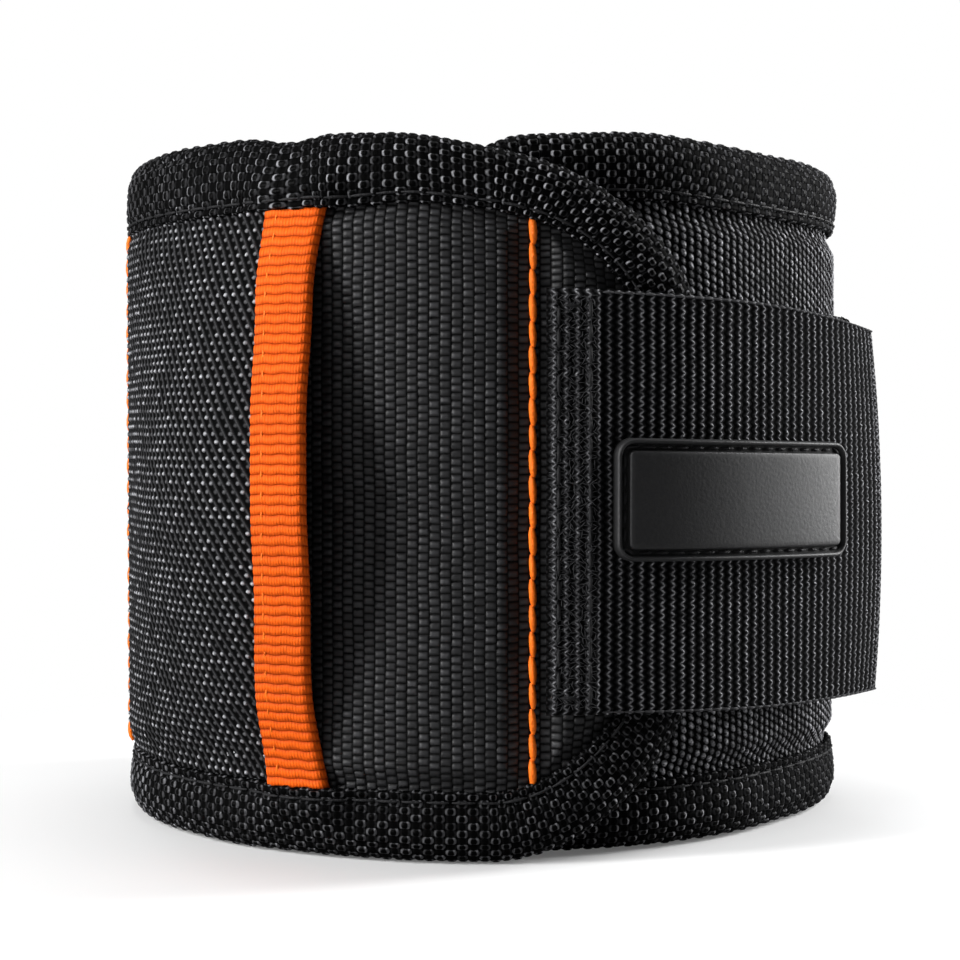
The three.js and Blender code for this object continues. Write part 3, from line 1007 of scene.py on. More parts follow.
@dataclass
class ThreadTree:
    """Geometry Nodes tree that lays short arched threads on points.

    The points carry the directions "along" and "facing".

    Attributes:
        name: Name of the tree.
        seed: Seed of the threads' sizes.
        smallest, largest: Range of those sizes.
        steps, sides: Steps along a thread, and sides of its section.
        taper: Share of its thickness that a thread loses towards its ends.
    """

    name: str = "laid_threads"
    seed: int = 7
    smallest: float = 0.93
    largest: float = 1.07
    steps: int = 5
    sides: int = 6
    taper: float = 0.5

    def __post_init__(self) -> None:
        """Builds the tree."""
        self.tree = bpy.data.node_groups.new(self.name, "GeometryNodeTree")
        face = self.tree.interface
        face.new_socket("Geometry", in_out="INPUT", socket_type="NodeSocketGeometry")
        for label in ("Length", "Rise", "Sink", "Thickness", "Slant"):
            face.new_socket(label, in_out="INPUT", socket_type="NodeSocketFloat")
        face.new_socket("Material", in_out="INPUT", socket_type="NodeSocketMaterial")
        face.new_socket("Geometry", in_out="OUTPUT", socket_type="NodeSocketGeometry")
        self.sockets = {item.name: item.identifier for item in face.items_tree if item.in_out == "INPUT"}
        given = self._add("NodeGroupInput").outputs
        points = self._add("GeometryNodeMeshToPoints", Mesh=given["Geometry"])
        lay = self._add(
            "GeometryNodeInstanceOnPoints", Points=points.outputs["Points"], Instance=self._thread(given),
            Rotation=self._turn(given["Slant"]), Scale=self._size(),
        )
        real = self._add("GeometryNodeRealizeInstances", Geometry=lay.outputs["Instances"])
        soft = self._add("GeometryNodeSetShadeSmooth", Geometry=real.outputs["Geometry"])
        paint = self._add(
            "GeometryNodeSetMaterial", Geometry=soft.outputs["Geometry"], Material=given["Material"]
        )
        self._add("NodeGroupOutput", Geometry=paint.outputs["Geometry"])

    def _add(self, kind: str, **inputs: Socket | float | str) -> bpy.types.Node:
        """Adds a node to the tree.

        Args:
            kind: Type of the node.
            inputs: What goes into its inputs, with their names' spaces as underscores.

        Returns:
            The node.
        """
        node = self.tree.nodes.new(kind)
        for label, value in inputs.items():
            socket = node.inputs[label.replace("_", " ")]
            if isinstance(value, Socket):
                self.tree.links.new(value, socket)
            else:
                socket.default_value = value
        return node

    def _thread(self, given: bpy.types.NodeOutputs) -> Socket:
        """Adds one arched thread with tapered ends.

        Args:
            given: Inputs of the tree.

        Returns:
            Its mesh.
        """
        length, rise, sink, thickness = (
            Wire(self.tree, given[label]) for label in ("Length", "Rise", "Sink", "Thickness")
        )

        def point(x: Wire, z: Wire) -> Socket:
            """A point of the arch."""
            return self._add("ShaderNodeCombineXYZ", X=x.socket, Z=z.socket).outputs[0]

        arch = self._add(
            "GeometryNodeCurveQuadraticBezier", Resolution=self.steps,
            Start=point(length * -0.5, sink * -1.0), Middle=point(length * 0.0, rise * 2.0),
            End=point(length * 0.5, sink * -1.0),
        )
        radius = thickness * 0.5
        section = self._add("GeometryNodeCurvePrimitiveCircle", Resolution=self.sides, Radius=radius.socket)
        share = Wire(self.tree, self._add("GeometryNodeSplineParameter").outputs["Factor"])
        size = 1.0 - self.taper * np.abs(2.0 * share - 1.0) ** 3.0
        tube = self._add(
            "GeometryNodeCurveToMesh", Curve=arch.outputs["Curve"], Profile_Curve=section.outputs["Curve"],
            Scale=size.socket, Fill_Caps=True,
        )
        return tube.outputs["Mesh"]

    def _turn(self, slant: Socket) -> Socket:
        """Adds the turn of each thread, along and facing its point's directions and then slanted.

        Args:
            slant: Turn about the facing direction.

        Returns:
            The rotation.
        """
        turns: list[Socket] = []
        for label, axis, pivot in (("along", "X", "AUTO"), ("facing", "Z", "X")):
            direction = self._add("GeometryNodeInputNamedAttribute")
            direction.data_type = "FLOAT_VECTOR"
            direction.inputs["Name"].default_value = label
            turn = self._add("FunctionNodeAlignRotationToVector", Vector=direction.outputs["Attribute"])
            turn.axis, turn.pivot_axis = axis, pivot
            if turns:
                self.tree.links.new(turns[-1], turn.inputs["Rotation"])
            turns.append(turn.outputs["Rotation"])
        about = self._add("ShaderNodeCombineXYZ", Z=slant)
        lean = self._add("FunctionNodeRotateRotation", Rotation=turns[-1], Rotate_By=about.outputs[0])
        lean.rotation_space = "LOCAL"
        return lean.outputs["Rotation"]

    def _size(self) -> Socket:
        """Adds the random size of each thread.

        Returns:
            The size.
        """
        size = self._add("FunctionNodeRandomValue")
        size.data_type = "FLOAT"
        for label, value in (("Min", self.smallest), ("Max", self.largest), ("Seed", self.seed)):
            size.inputs[label].default_value = value
        return next(output for output in size.outputs if output.enabled)

    def lay(
        self, name: str, points: Array, along: Array, facing: Array, finish: Finish, stitch: Stitch
    ) -> Piece:
        """Lays one thread on each point and keeps the result as a plain mesh.

        Args:
            name: Name of the piece.
            points, along, facing: Places in metres and directions.
            finish: Finish of the thread.
            stitch: Sizes of the thread.

        Returns:
            The object.
        """
        mesh = bpy.data.meshes.new(name)
        mesh.from_pydata(points.tolist(), [], [])
        for label, values in (("along", along), ("facing", facing)):
            attribute = mesh.attributes.new(label, "FLOAT_VECTOR", "POINT")
            attribute.data.foreach_set("vector", values.astype(np.float32).ravel())
        made = bpy.data.objects.new(name, mesh)
        bpy.context.scene.collection.objects.link(made)
        modifier = made.modifiers.new(self.name, "NODES")
        modifier.node_group = self.tree
        for label in ("Length", "Rise", "Sink", "Thickness"):
            modifier[self.sockets[label]] = getattr(stitch, label.lower()) * MM
        modifier[self.sockets["Slant"]] = math.radians(stitch.slant)
        modifier[self.sockets["Material"]] = finish.material()
        ready = made.evaluated_get(bpy.context.evaluated_depsgraph_get())
        plain = bpy.data.meshes.new_from_object(ready)
        made.modifiers.remove(modifier)
        made.data = plain
        plain.name = name
        relief = plain.attributes.new("relief", "FLOAT", "POINT")
        relief.data.foreach_set("value", np.ones(len(plain.vertices), np.float32))
        return made

    def row(self, name: str, path: BandPath, flat: Array, finish: Finish, stitch: Stitch) -> Piece:
        """Lays a row of stitches along a flat line.

        Args:
            name: Name of the piece.
            path: Line to wrap it round.
            flat: Points s, o, z of the line in mm.
            finish: Finish of the thread.
            stitch: Sizes of one stitch.

        Returns:
            The object.
        """
        line = path.wrap(*flat.T)
        out = path.wrap(flat[:, 0], flat[:, 1] + 1, flat[:, 2]) - line
        lengths = travelled(line)
        count = max(2, int(lengths[-1] / (stitch.pitch * MM)))
        at = (np.arange(count) + 0.5) * lengths[-1] / count
        heading = np.gradient(line, axis=0)
        points, along, facing = (sampled(at, lengths, rows) for rows in (line, heading, out))
        return self.lay(name, points, along, facing, finish, stitch)


@dataclass(frozen=True)
class Side:
    """Front or rear of the band: its outline, its drawing in and the body given with its cloth."""

    half: Callable[[Array, float], Array]
    pinch: Callable[[Array], Array]
    body: Body


@dataclass
class BoundPanels:
    """Shells, linings and foam of the band between its bound edges, in mm.

    The rear shell is one cloth in two meshes that meet at rear_middle. Rows between edge_inset and
    edge_shown lie under the binding. The cut sizes are in metres.
    """

    pattern: BandPattern
    dresser: Dresser
    front_step: float = 0.29
    rear_step: float = 0.38
    lining_step: float = 0.62
    edge_inset: float = 1.45
    edge_hidden: float = 6.0
    edge_shown: float = 7.8
    rear_start: float = 1.6
    rear_middle: float = 136.0
    tip_inset: float = 9.2
    foam_tip_inset: float = 12.9
    pillow: float = 0.12
    pillow_size: float = 14.0
    foam_half: float = 0.98
    foam_middle: float = -2.1
    foam_edge: float = 0.05
    foam_end: float = 0.6
    cut_height: float = 0.087
    front_cut: float = 0.051
    rear_cut: float = 0.267

    def __post_init__(self) -> None:
        """Names the two sides of the band."""
        pattern = self.pattern
        self.front = Side(pattern.front_half, pattern.front_pinch, Body.TONGUE)
        self.rear = Side(pattern.rear_half, pattern.rear_pinch, Body.REAR_PANEL)

    def rows(self, s: Array, side: Side, step: float) -> tuple[Array, Array, Array]:
        """Heights of a bound panel's rows, and how far each is drawn in.

        Args:
            s: Stations along the band.
            side: Side that the panel is on.
            step: Space between rows that show.

        Returns:
            Heights bottom to top for each station, the drawing in of each row, and how far each point
            is pulled in.
        """
        pattern = self.pattern
        shown = np.arange(self.edge_shown, pattern.crown, step)
        insets = np.concatenate([[self.edge_inset, self.edge_hidden], shown])
        edges = np.stack([side.half(s, float(inset)) for inset in insets], axis=1)
        inner = side.half(s, pattern.crown)[:, None]
        count = int(inner.max() / step) + 1
        upper = np.concatenate([edges, inner * np.linspace(1, 0, count)], axis=1)
        upper = np.maximum(upper, 0.004 * np.arange(upper.shape[1])[::-1])
        drawn = np.concatenate([1 - smooth(insets, pattern.pinch_end, pattern.crown), np.zeros(count)])
        drawn = np.concatenate([drawn, drawn[-2::-1]])
        z = np.concatenate([pattern.mid - upper, pattern.mid + upper[:, -2::-1]], axis=1)
        return z, drawn, pattern.pinch_drop * np.maximum(drawn, side.pinch(s)[:, None])

    def shell(self, name: str, s: Array, side: Side, weave: Weave) -> Piece:
        """Builds an outer shell.

        Args:
            name: Name of the piece.
            s: Stations along the band.
            side: Side that the shell is on.
            weave: Weave of its face.

        Returns:
            The object.
        """
        z, drawn, pulled = self.rows(s, side, self.front_step)
        waves = self.pillow * wobble(s[:, None] + 0 * z, z, self.pillow_size, weave.seed)
        outer = -pulled + waves * (1 - drawn)
        pick = [0, 1, z.shape[1] // 2, -2, -1]
        skin = slab(s, z, outer, z[:, pick], outer[:, pick] - self.pattern.shell, weave)
        return skin.make(name, self.pattern.path)

    def lined(self, name: str, s: Array, side: Side) -> Piece:
        """Builds a lining, whose inner face shows.

        Args:
            name: Name of the piece.
            s: Stations along the band.
            side: Side that the lining is on.

        Returns:
            The object.
        """
        z, _, pulled = self.rows(s, side, self.lining_step)
        inner = pulled - self.pattern.thickness
        pick = [0, 1, z.shape[1] // 2, -2, -1]
        skin = slab(s, z[:, pick], inner[:, pick] + self.pattern.lining, z, inner, LINING_WEAVE, True)
        return skin.make(name, self.pattern.path)

    def foam(self, name: str, s: Array, side: Side) -> Piece:
        """Builds a foam sheet with softened edges.

        Args:
            name: Name of the piece.
            s: Stations along the band.
            side: Side that the foam is on.

        Returns:
            The object.
        """
        pattern = self.pattern
        share = np.concatenate([[-1.0, -0.985, -0.95], np.linspace(-0.9, 0.9, 13), [0.95, 0.985, 1.0]])
        z = pattern.mid + side.half(s, pattern.foam_inset)[:, None] * share
        edges = rounded((1 - np.abs(share)) / self.foam_edge, 0.02)
        ends = rounded(np.minimum(s - s[0], s[-1] - s) / self.foam_end, 0.02)
        swell = self.foam_half * edges * ends[:, None]
        outer, inner = self.foam_middle + swell, self.foam_middle - swell
        return slab(s, z, outer, z, inner, GROUND_WEAVE).make(name, pattern.path)

    def build(self) -> None:
        """Builds and dresses all panels."""
        pattern, dresser, front, rear = self.pattern, self.dresser, self.front, self.rear
        tip, split, middle = pattern.tongue_tip - self.tip_inset, pattern.split, self.rear_middle
        stations = spread(split, tip, self.front_step)
        shell = self.shell("nylon_shell", stations, front, PANEL_WEAVE)
        dresser.bend(shell, front.body, NYLON, "front_shell", "tongue_shell")
        for name, low, high in (("right", self.rear_start, middle), ("left", middle, split)):
            shell = self.shell(f"rear_shell_{name}", spread(low, high, self.rear_step), rear, REAR_WEAVE)
            dresser.bend(shell, rear.body, KNIT, "rear_shell")
            cut = self.cut_height, (high - low) * MM
        linings = (
            ("front", spread(split, tip, 0.62), front, self.front_cut, ("front_lining", "tongue_lining")),
            ("rear", spread(self.rear_start, split, 0.66), rear, self.rear_cut, ("rear_lining",)),
        )
        for name, stations, side, length, nodes in linings:
            lining = self.lined(f"{name}_lining_cloth", stations, side)
            dresser.bend(lining, side.body, LINING, *nodes)
        clear, end = pattern.seam_clear, pattern.tongue_tip - self.foam_tip_inset
        foams = (
            ("tongue", spread(pattern.right_seam + clear, end, 0.3), front),
            ("rear", spread(pattern.foam_inset, pattern.left_seam - clear, 2.0), rear),
        )
        for name, stations, side in foams:
            foam = self.foam(f"{name}_foam", stations, side)
            dresser.ride(foam, side.body, FOAM, f"{name}_padding")


@dataclass
class EdgeBinding:
    """Woven tape folded over the edges of the band, in mm.

    The outer leaf puffs up between the fold and the stitches, and its edge rolls in, by rows of distance
    from the edge and offset. Beside the pocket the top leaf reaches farther down, and it swells over the
    ribbon's ends. The top edge dips beside the ribbon and after it, and rises over the lap. The cut width
    is in metres and not used.
    """

    pattern: BandPattern
    dresser: Dresser
    threads: ThreadTree
    nose: float = 2.2
    puff: float = 0.4
    puff_start: float = 0.6
    inner_puff: float = 0.3
    dent: float = 0.22
    dent_width: float = 0.55
    roll: tuple[tuple[float, float], ...] = ((0.28, -0.06), (0.1, -0.25), (0.0, -0.7))
    wall: float = 0.85
    step: float = 0.27
    wave: float = 0.1
    wave_size: float = 9.0
    reach: float = 1.15
    reach_start: float = 205.0
    reach_full: float = 235.0
    reach_fade: float = 12.0
    mesh_lift: float = 0.45
    swell: float = 1.6
    swell_lead: float = 3.4
    swell_half: float = 6.0
    ribbon_dip: float = 1.0
    after_dip: float = 0.45
    lap_rise: float = 0.7
    lap_station: float = 28.0
    stitch_inset: float = 7.5
    stitch: Stitch = Stitch(length=2.8, thickness=0.36, rise=0.06, sink=0.2, pitch=3.1)
    cut_width: float = 0.0195

    def section(self) -> Array:
        """Outer line of the folded tape, from its inner leaf round the fold to its outer leaf.

        Returns:
            Distances in from the fold and offsets, one row for each point.
        """
        turn = np.linspace(-math.pi / 2, math.pi / 2, 40)
        depth, width = self.pattern.thickness, self.pattern.binding_width
        nose_e, nose_o = self.nose * (1 - np.cos(turn)), -depth / 2 + depth / 2 * np.sin(turn)
        leaf = np.linspace(self.nose, width - 0.5, 30)[1:]
        puffed = np.clip((leaf - self.puff_start) / (self.stitch_inset - self.puff_start), 0, 1)
        dent = self.dent * hump(leaf, self.stitch_inset, self.dent_width)
        outer = self.puff * np.sin(np.pi * puffed) - dent
        short, roll_o = np.array(self.roll).T
        roll_e = width - short
        e = np.concatenate([roll_e[::-1], leaf[::-1], nose_e, leaf, roll_e])
        inner = [-depth - roll_o[::-1], -depth - self.inner_puff * outer[::-1]]
        line = places(e, np.concatenate([*inner, nose_o, outer, roll_o]))
        length = travelled(line)
        return sampled(spread(0.0, float(length[-1]), self.step), length, line)

    def sweep(self, outline: Array, start: float) -> Skin:
        """Runs the folded tape along an outline of the flat pattern.

        Args:
            outline: Points s, z, with the inside on their left.
            start: Length along the tape at the outline's first point.

        Returns:
            The rings of the tape.
        """
        length = travelled(outline)
        at = spread(0.0, float(length[-1]), self.step)
        edge = sampled(at, length, outline)
        s, z = edge[:, :1], edge[:, 1:]
        run = headings(edge)
        if abs(run[0, 0]) > abs(run[0, 1]):
            run[0] = np.sign(run[0, 0]), 0.0
        section = self.section()
        e, o = section.T
        facing = headings(section)
        u, v = np.meshgrid(start + at, np.arange(len(e)) * self.step, indexing="ij")
        waves = self.wave * wobble(u, v, self.wave_size, TAPE_WEAVE.seed)
        u, v = TAPE_WEAVE.drifted(u, v)
        relief = TAPE_WEAVE.height(u, v)
        lift = TAPE_WEAVE.depth * (relief - MEAN_RELIEF) + waves
        outer = o > -1.0
        wide = e + self.broaden(s, e, z) * outer
        rim, back = self.pattern.binding_width - 0.15, self.wall - self.pattern.thickness
        plain = np.ones((len(at), 4))
        inside_e, inside_o = [rim, self.wall, self.wall, rim], [-self.wall, -self.wall, back, back]
        ring_e = np.concatenate([wide - lift * facing[:, 1], plain * inside_e], axis=1)
        ring_o = o + lift * facing[:, 0] + self.over(s, e, z) * outer
        ring_o = np.concatenate([ring_o, plain * inside_o], axis=1)
        u, v = (np.concatenate([rows, rows[:, :4]], axis=1) for rows in (u, v))
        relief = np.concatenate([relief, plain * 0.3], axis=1)
        return Skin(s - run[:, 1:] * ring_e, ring_o, z + run[:, :1] * ring_e, u, v, relief)

    def broaden(self, s: Array, e: Array | float, z: Array) -> Array:
        """How far the top edge's outer leaf reaches down past its width, from the left seam to the ribbon.

        Args:
            s, z: Places on the edge.
            e: Distance in from the edge.

        Returns:
            Lengths added to that distance.
        """
        mouth = self.pattern.mouth
        beside = smooth(s, self.reach_start, self.reach_full)
        beside = beside * (1 - smooth(s, mouth, mouth + self.reach_fade))
        return (self.reach - self.dip(s)) * beside * smooth(e, 3.0, 8.0) * (z > self.pattern.mid)

    def over(self, s: Array, e: Array | float, z: Array) -> Array:
        """Lift of the outer leaf over the ends of the ribbon and the edge of the mesh.

        Args:
            s, z: Places on the edge.
            e: Distance in from the edge.

        Returns:
            Offsets.
        """
        ribbon = hump(s, self.pattern.mouth - self.swell_lead, self.swell_half, 4) * smooth(e, 2.5, 7.0)
        return np.maximum(self.swell * ribbon, self.mesh_lift * self.broaden(s, e, z))

    def dip(self, s: Array) -> Array:
        """How far the top edge dips beside the ribbon, and rises over the lap.

        Args:
            s: Stations along the band.

        Returns:
            Depths below the band's height.
        """
        beside = self.ribbon_dip * hump(s, self.pattern.split, 4.5)
        after = self.after_dip * hump(s, self.pattern.mouth + 7.0, 8.0)
        return beside + after - self.lap_rise * hump(s, self.lap_station, 10.0)

    def front_outline(self) -> Array:
        """Outline along the bottom, round the tongue and back along the top.

        Returns:
            Points s, z.
        """
        pattern = self.pattern
        level = spread(pattern.split, pattern.tongue_start, 0.5)
        turn = np.linspace(0, np.pi, 260)[1:-1]
        along = pattern.tongue_start + pattern.tongue_length * np.sin(turn)
        tip = places(along, pattern.mid * (1 - np.cos(turn)))
        top = places(level, pattern.height - self.dip(level))[::-1]
        return np.concatenate([places(level, 0.0), tip, top])

    def rear_outline(self) -> Array:
        """Outline along the top and round the tucked end to its middle.

        Returns:
            Points s, z.
        """
        pattern = self.pattern
        level = spread(pattern.corner, pattern.split, 0.5)[::-1]
        turn = np.linspace(0, np.pi / 2, 60)[1:]
        down = pattern.height - pattern.corner * (1 - np.cos(turn))
        corner = places(pattern.corner * (1 - np.sin(turn)), down)
        return np.concatenate([places(level, pattern.height - self.dip(level)), corner, [[0.0, pattern.mid]]])

    def stitch_line(self, outline: Array) -> Array:
        """Places the stitched line of the tape's outer leaf.

        Args:
            outline: Points s, z of the edge.

        Returns:
            Points s, o, z.
        """
        run = headings(outline)
        edge = outline[:, 1]
        inset = self.stitch_inset + self.broaden(outline[:, 0], self.stitch_inset, edge)
        s = outline[:, 0] - run[:, 1] * inset
        return places(s, 0.05 + self.over(s, self.stitch_inset, edge), edge + run[:, 0] * inset)

    def build(self) -> None:
        """Builds and dresses the bindings with their stitches."""
        pattern, dresser = self.pattern, self.dresser
        front, upper = self.front_outline(), self.rear_outline()
        lower = places(upper[::-1, 0], pattern.height - upper[::-1, 1])
        lower[lower[:, 0] >= pattern.corner, 1] = 0.0
        front_length, lower_length = (float(travelled(outline)[-1]) for outline in (front, lower))
        front_nodes = "front_binding_top", "front_binding_bottom", "tongue_binding"
        runs = (
            ("front_binding", front, 0.0, front_length, Body.TONGUE, front_nodes),
            ("rear_binding_upper", upper, front_length, lower_length, Body.REAR_PANEL, ("rear_binding",)),
            ("rear_binding_lower", lower, -lower_length, lower_length, Body.REAR_PANEL, ("rear_binding",)),
        )
        for name, outline, start, length, body, nodes in runs:
            tape = self.sweep(outline, start).make(name, pattern.path)
            dresser.bend(tape, body, TAPE, *nodes)
            line = self.stitch_line(outline)
            stitches = self.threads.row(f"{name}_stitches", pattern.path, line, BLACK_THREAD, self.stitch)
            dresser.bend(stitches, body, BLACK_THREAD)


@dataclass
class Pocket:
    """Mesh pocket, its orange ribbon and the two orange seams, in mm.

    The ribbon's fold stands past the mouth by overhang and swings in from its sewn ends by curve. Its
    front is end_width wide there, and less by waist between them. The cut sizes are in metres and not used.
    """

    pattern: BandPattern
    dresser: Dresser
    threads: ThreadTree
    mesh_thickness: float = 0.6
    mesh_edge: float = 9.0
    mesh_back: float = 1.6
    ribbon_thickness: float = 0.6
    ribbon_gap: float = 0.3
    ribbon_edge: float = 8.6
    fold: float = 2.0
    overhang: float = 0.4
    curve: float = 2.6
    end_width: float = 1.1
    waist: float = 0.28
    mouth_ends: float = 17.0
    tack_share: float = 0.8
    tack_edge: float = 9.6
    tack: Stitch = Stitch(length=2.2, thickness=0.32, rise=0.05, sink=0.2, pitch=2.45)
    seam_edge: float = 9.4
    seam: Stitch = Stitch(length=3.3, thickness=0.95, rise=0.25, sink=0.2, pitch=3.05, slant=4.0)
    mesh_cut: float = 0.074
    ribbon_cut: tuple[float, float] = (0.022, 0.073)

    def upright(self, edge: float, step: float) -> Array:
        """Heights from a space above the band's bottom to the same space below its top."""
        return spread(edge, self.pattern.height - edge, step)

    def mesh_panel(self) -> Piece:
        """Builds the mesh panel.

        Returns:
            The object.
        """
        pattern = self.pattern
        s = spread(pattern.left_seam - 1.0, pattern.mouth - self.mesh_back, 0.28)
        z = np.tile(self.upright(self.mesh_edge, 0.26), (len(s), 1))
        inner = pattern.pocket_face(s[:, None], z)
        coarse_z, coarse = (np.concatenate([rows[:, ::12], rows[:, -1:]], axis=1) for rows in (z, inner))
        skin = slab(s, z, inner + self.mesh_thickness, coarse_z, coarse, MESH_WEAVE)
        return skin.make("pocket_mesh_cloth", pattern.path)

    def opened(self, z: Array) -> Array:
        """How far the mouth is open, from 0 at its sewn ends to 1 at its middle."""
        span = self.pattern.height - self.mouth_ends
        return np.clip(np.cos(np.pi * (z - self.pattern.mid) / span), 0.0, 1.0)

    def mouth_line(self, z: Array) -> Array:
        """Place of the ribbon's fold along the band, which swings in from its sewn ends."""
        share = self.opened(z)
        return self.pattern.mouth + self.overhang - self.curve * (share**0.6 - share**2)

    def width_share(self, z: Array) -> Array:
        """Width of the ribbon's front, spread at its ends and drawn in between them."""
        return self.end_width - self.waist * self.opened(z) ** 0.6

    def ribbon_top(self, s: Array, z: Array) -> Array:
        """Offset of the ribbon's outer face, sunk under the bindings at its ends."""
        face = self.pattern.pocket_face(np.minimum(s, self.pattern.mouth), z)
        return face + self.mesh_thickness + self.ribbon_gap + self.ribbon_thickness

    def ribbon(self) -> Piece:
        """Builds the ribbon folded over the pocket's mouth.

        Returns:
            The object.
        """
        width, depth = self.pattern.ribbon_width, self.fold
        turn = np.linspace(-math.pi / 2, math.pi / 2, 14)
        leaf = spread(depth / 2, width, 0.24)[1:]
        wall = self.ribbon_thickness - 0.05
        inside_e = [width, 1.0, 1.0, width, width, 4.0]
        inside_o = [-wall, -wall, wall - depth, wall - depth, -depth, -depth]
        ring_e = np.concatenate([depth / 2 * (1 - np.cos(turn)), leaf, inside_e])
        ring_o = np.concatenate([depth / 2 * (np.sin(turn) - 1), 0 * leaf, inside_o])
        along = travelled(places(ring_e, ring_o))
        height, u = np.meshgrid(self.upright(self.ribbon_edge, 0.2), along, indexing="ij")
        waves = 0.2 * wobble(0 * height, height, 11.0, 73)
        s = self.mouth_line(height) - ring_e * self.width_share(height) + waves
        shown = np.arange(len(ring_e)) < len(turn) + len(leaf)
        u, v = RIBBON_WEAVE.drifted(u, height)
        relief = np.where(shown, RIBBON_WEAVE.height(u, v), MEAN_RELIEF)
        o = self.ribbon_top(s, height) + ring_o + RIBBON_WEAVE.depth * (relief - MEAN_RELIEF)
        return Skin(s, o, height, u, v, relief).make("pocket_ribbon_tape", self.pattern.path)

    def build(self) -> None:
        """Builds and dresses the pocket and its seams."""
        pattern, dresser, sew = self.pattern, self.dresser, self.threads.row
        mesh = self.mesh_panel()
        dresser.bend(mesh, Body.REAR_PANEL, MESH, "pocket_mesh")
        ribbon = self.ribbon()
        dresser.ride(ribbon, Body.MAGNET_PANEL, RIBBON, "pocket_ribbon")
        z = self.upright(self.tack_edge, 0.5)
        s = self.mouth_line(z) - pattern.ribbon_width * self.tack_share * self.width_share(z)
        line = places(s, self.ribbon_top(s, z), z)
        tacks = sew("ribbon_stitches", pattern.path, line, ORANGE_THREAD, self.tack)
        dresser.ride(tacks, Body.MAGNET_PANEL, ORANGE_THREAD)
        z = self.upright(self.seam_edge, 0.5)
        seams = (
            ("right", pattern.right_seam, -pattern.pinch_drop + 0.25, Body.TONGUE),
            ("left", pattern.left_seam, 0.2, Body.REAR_PANEL),
        )
        for name, s, o, body in seams:
            line = places(s, o, z)
            stitches = sew(f"{name}_seam_stitches", pattern.path, line, ORANGE_THREAD, self.seam)
            dresser.bend(stitches, body, ORANGE_THREAD)


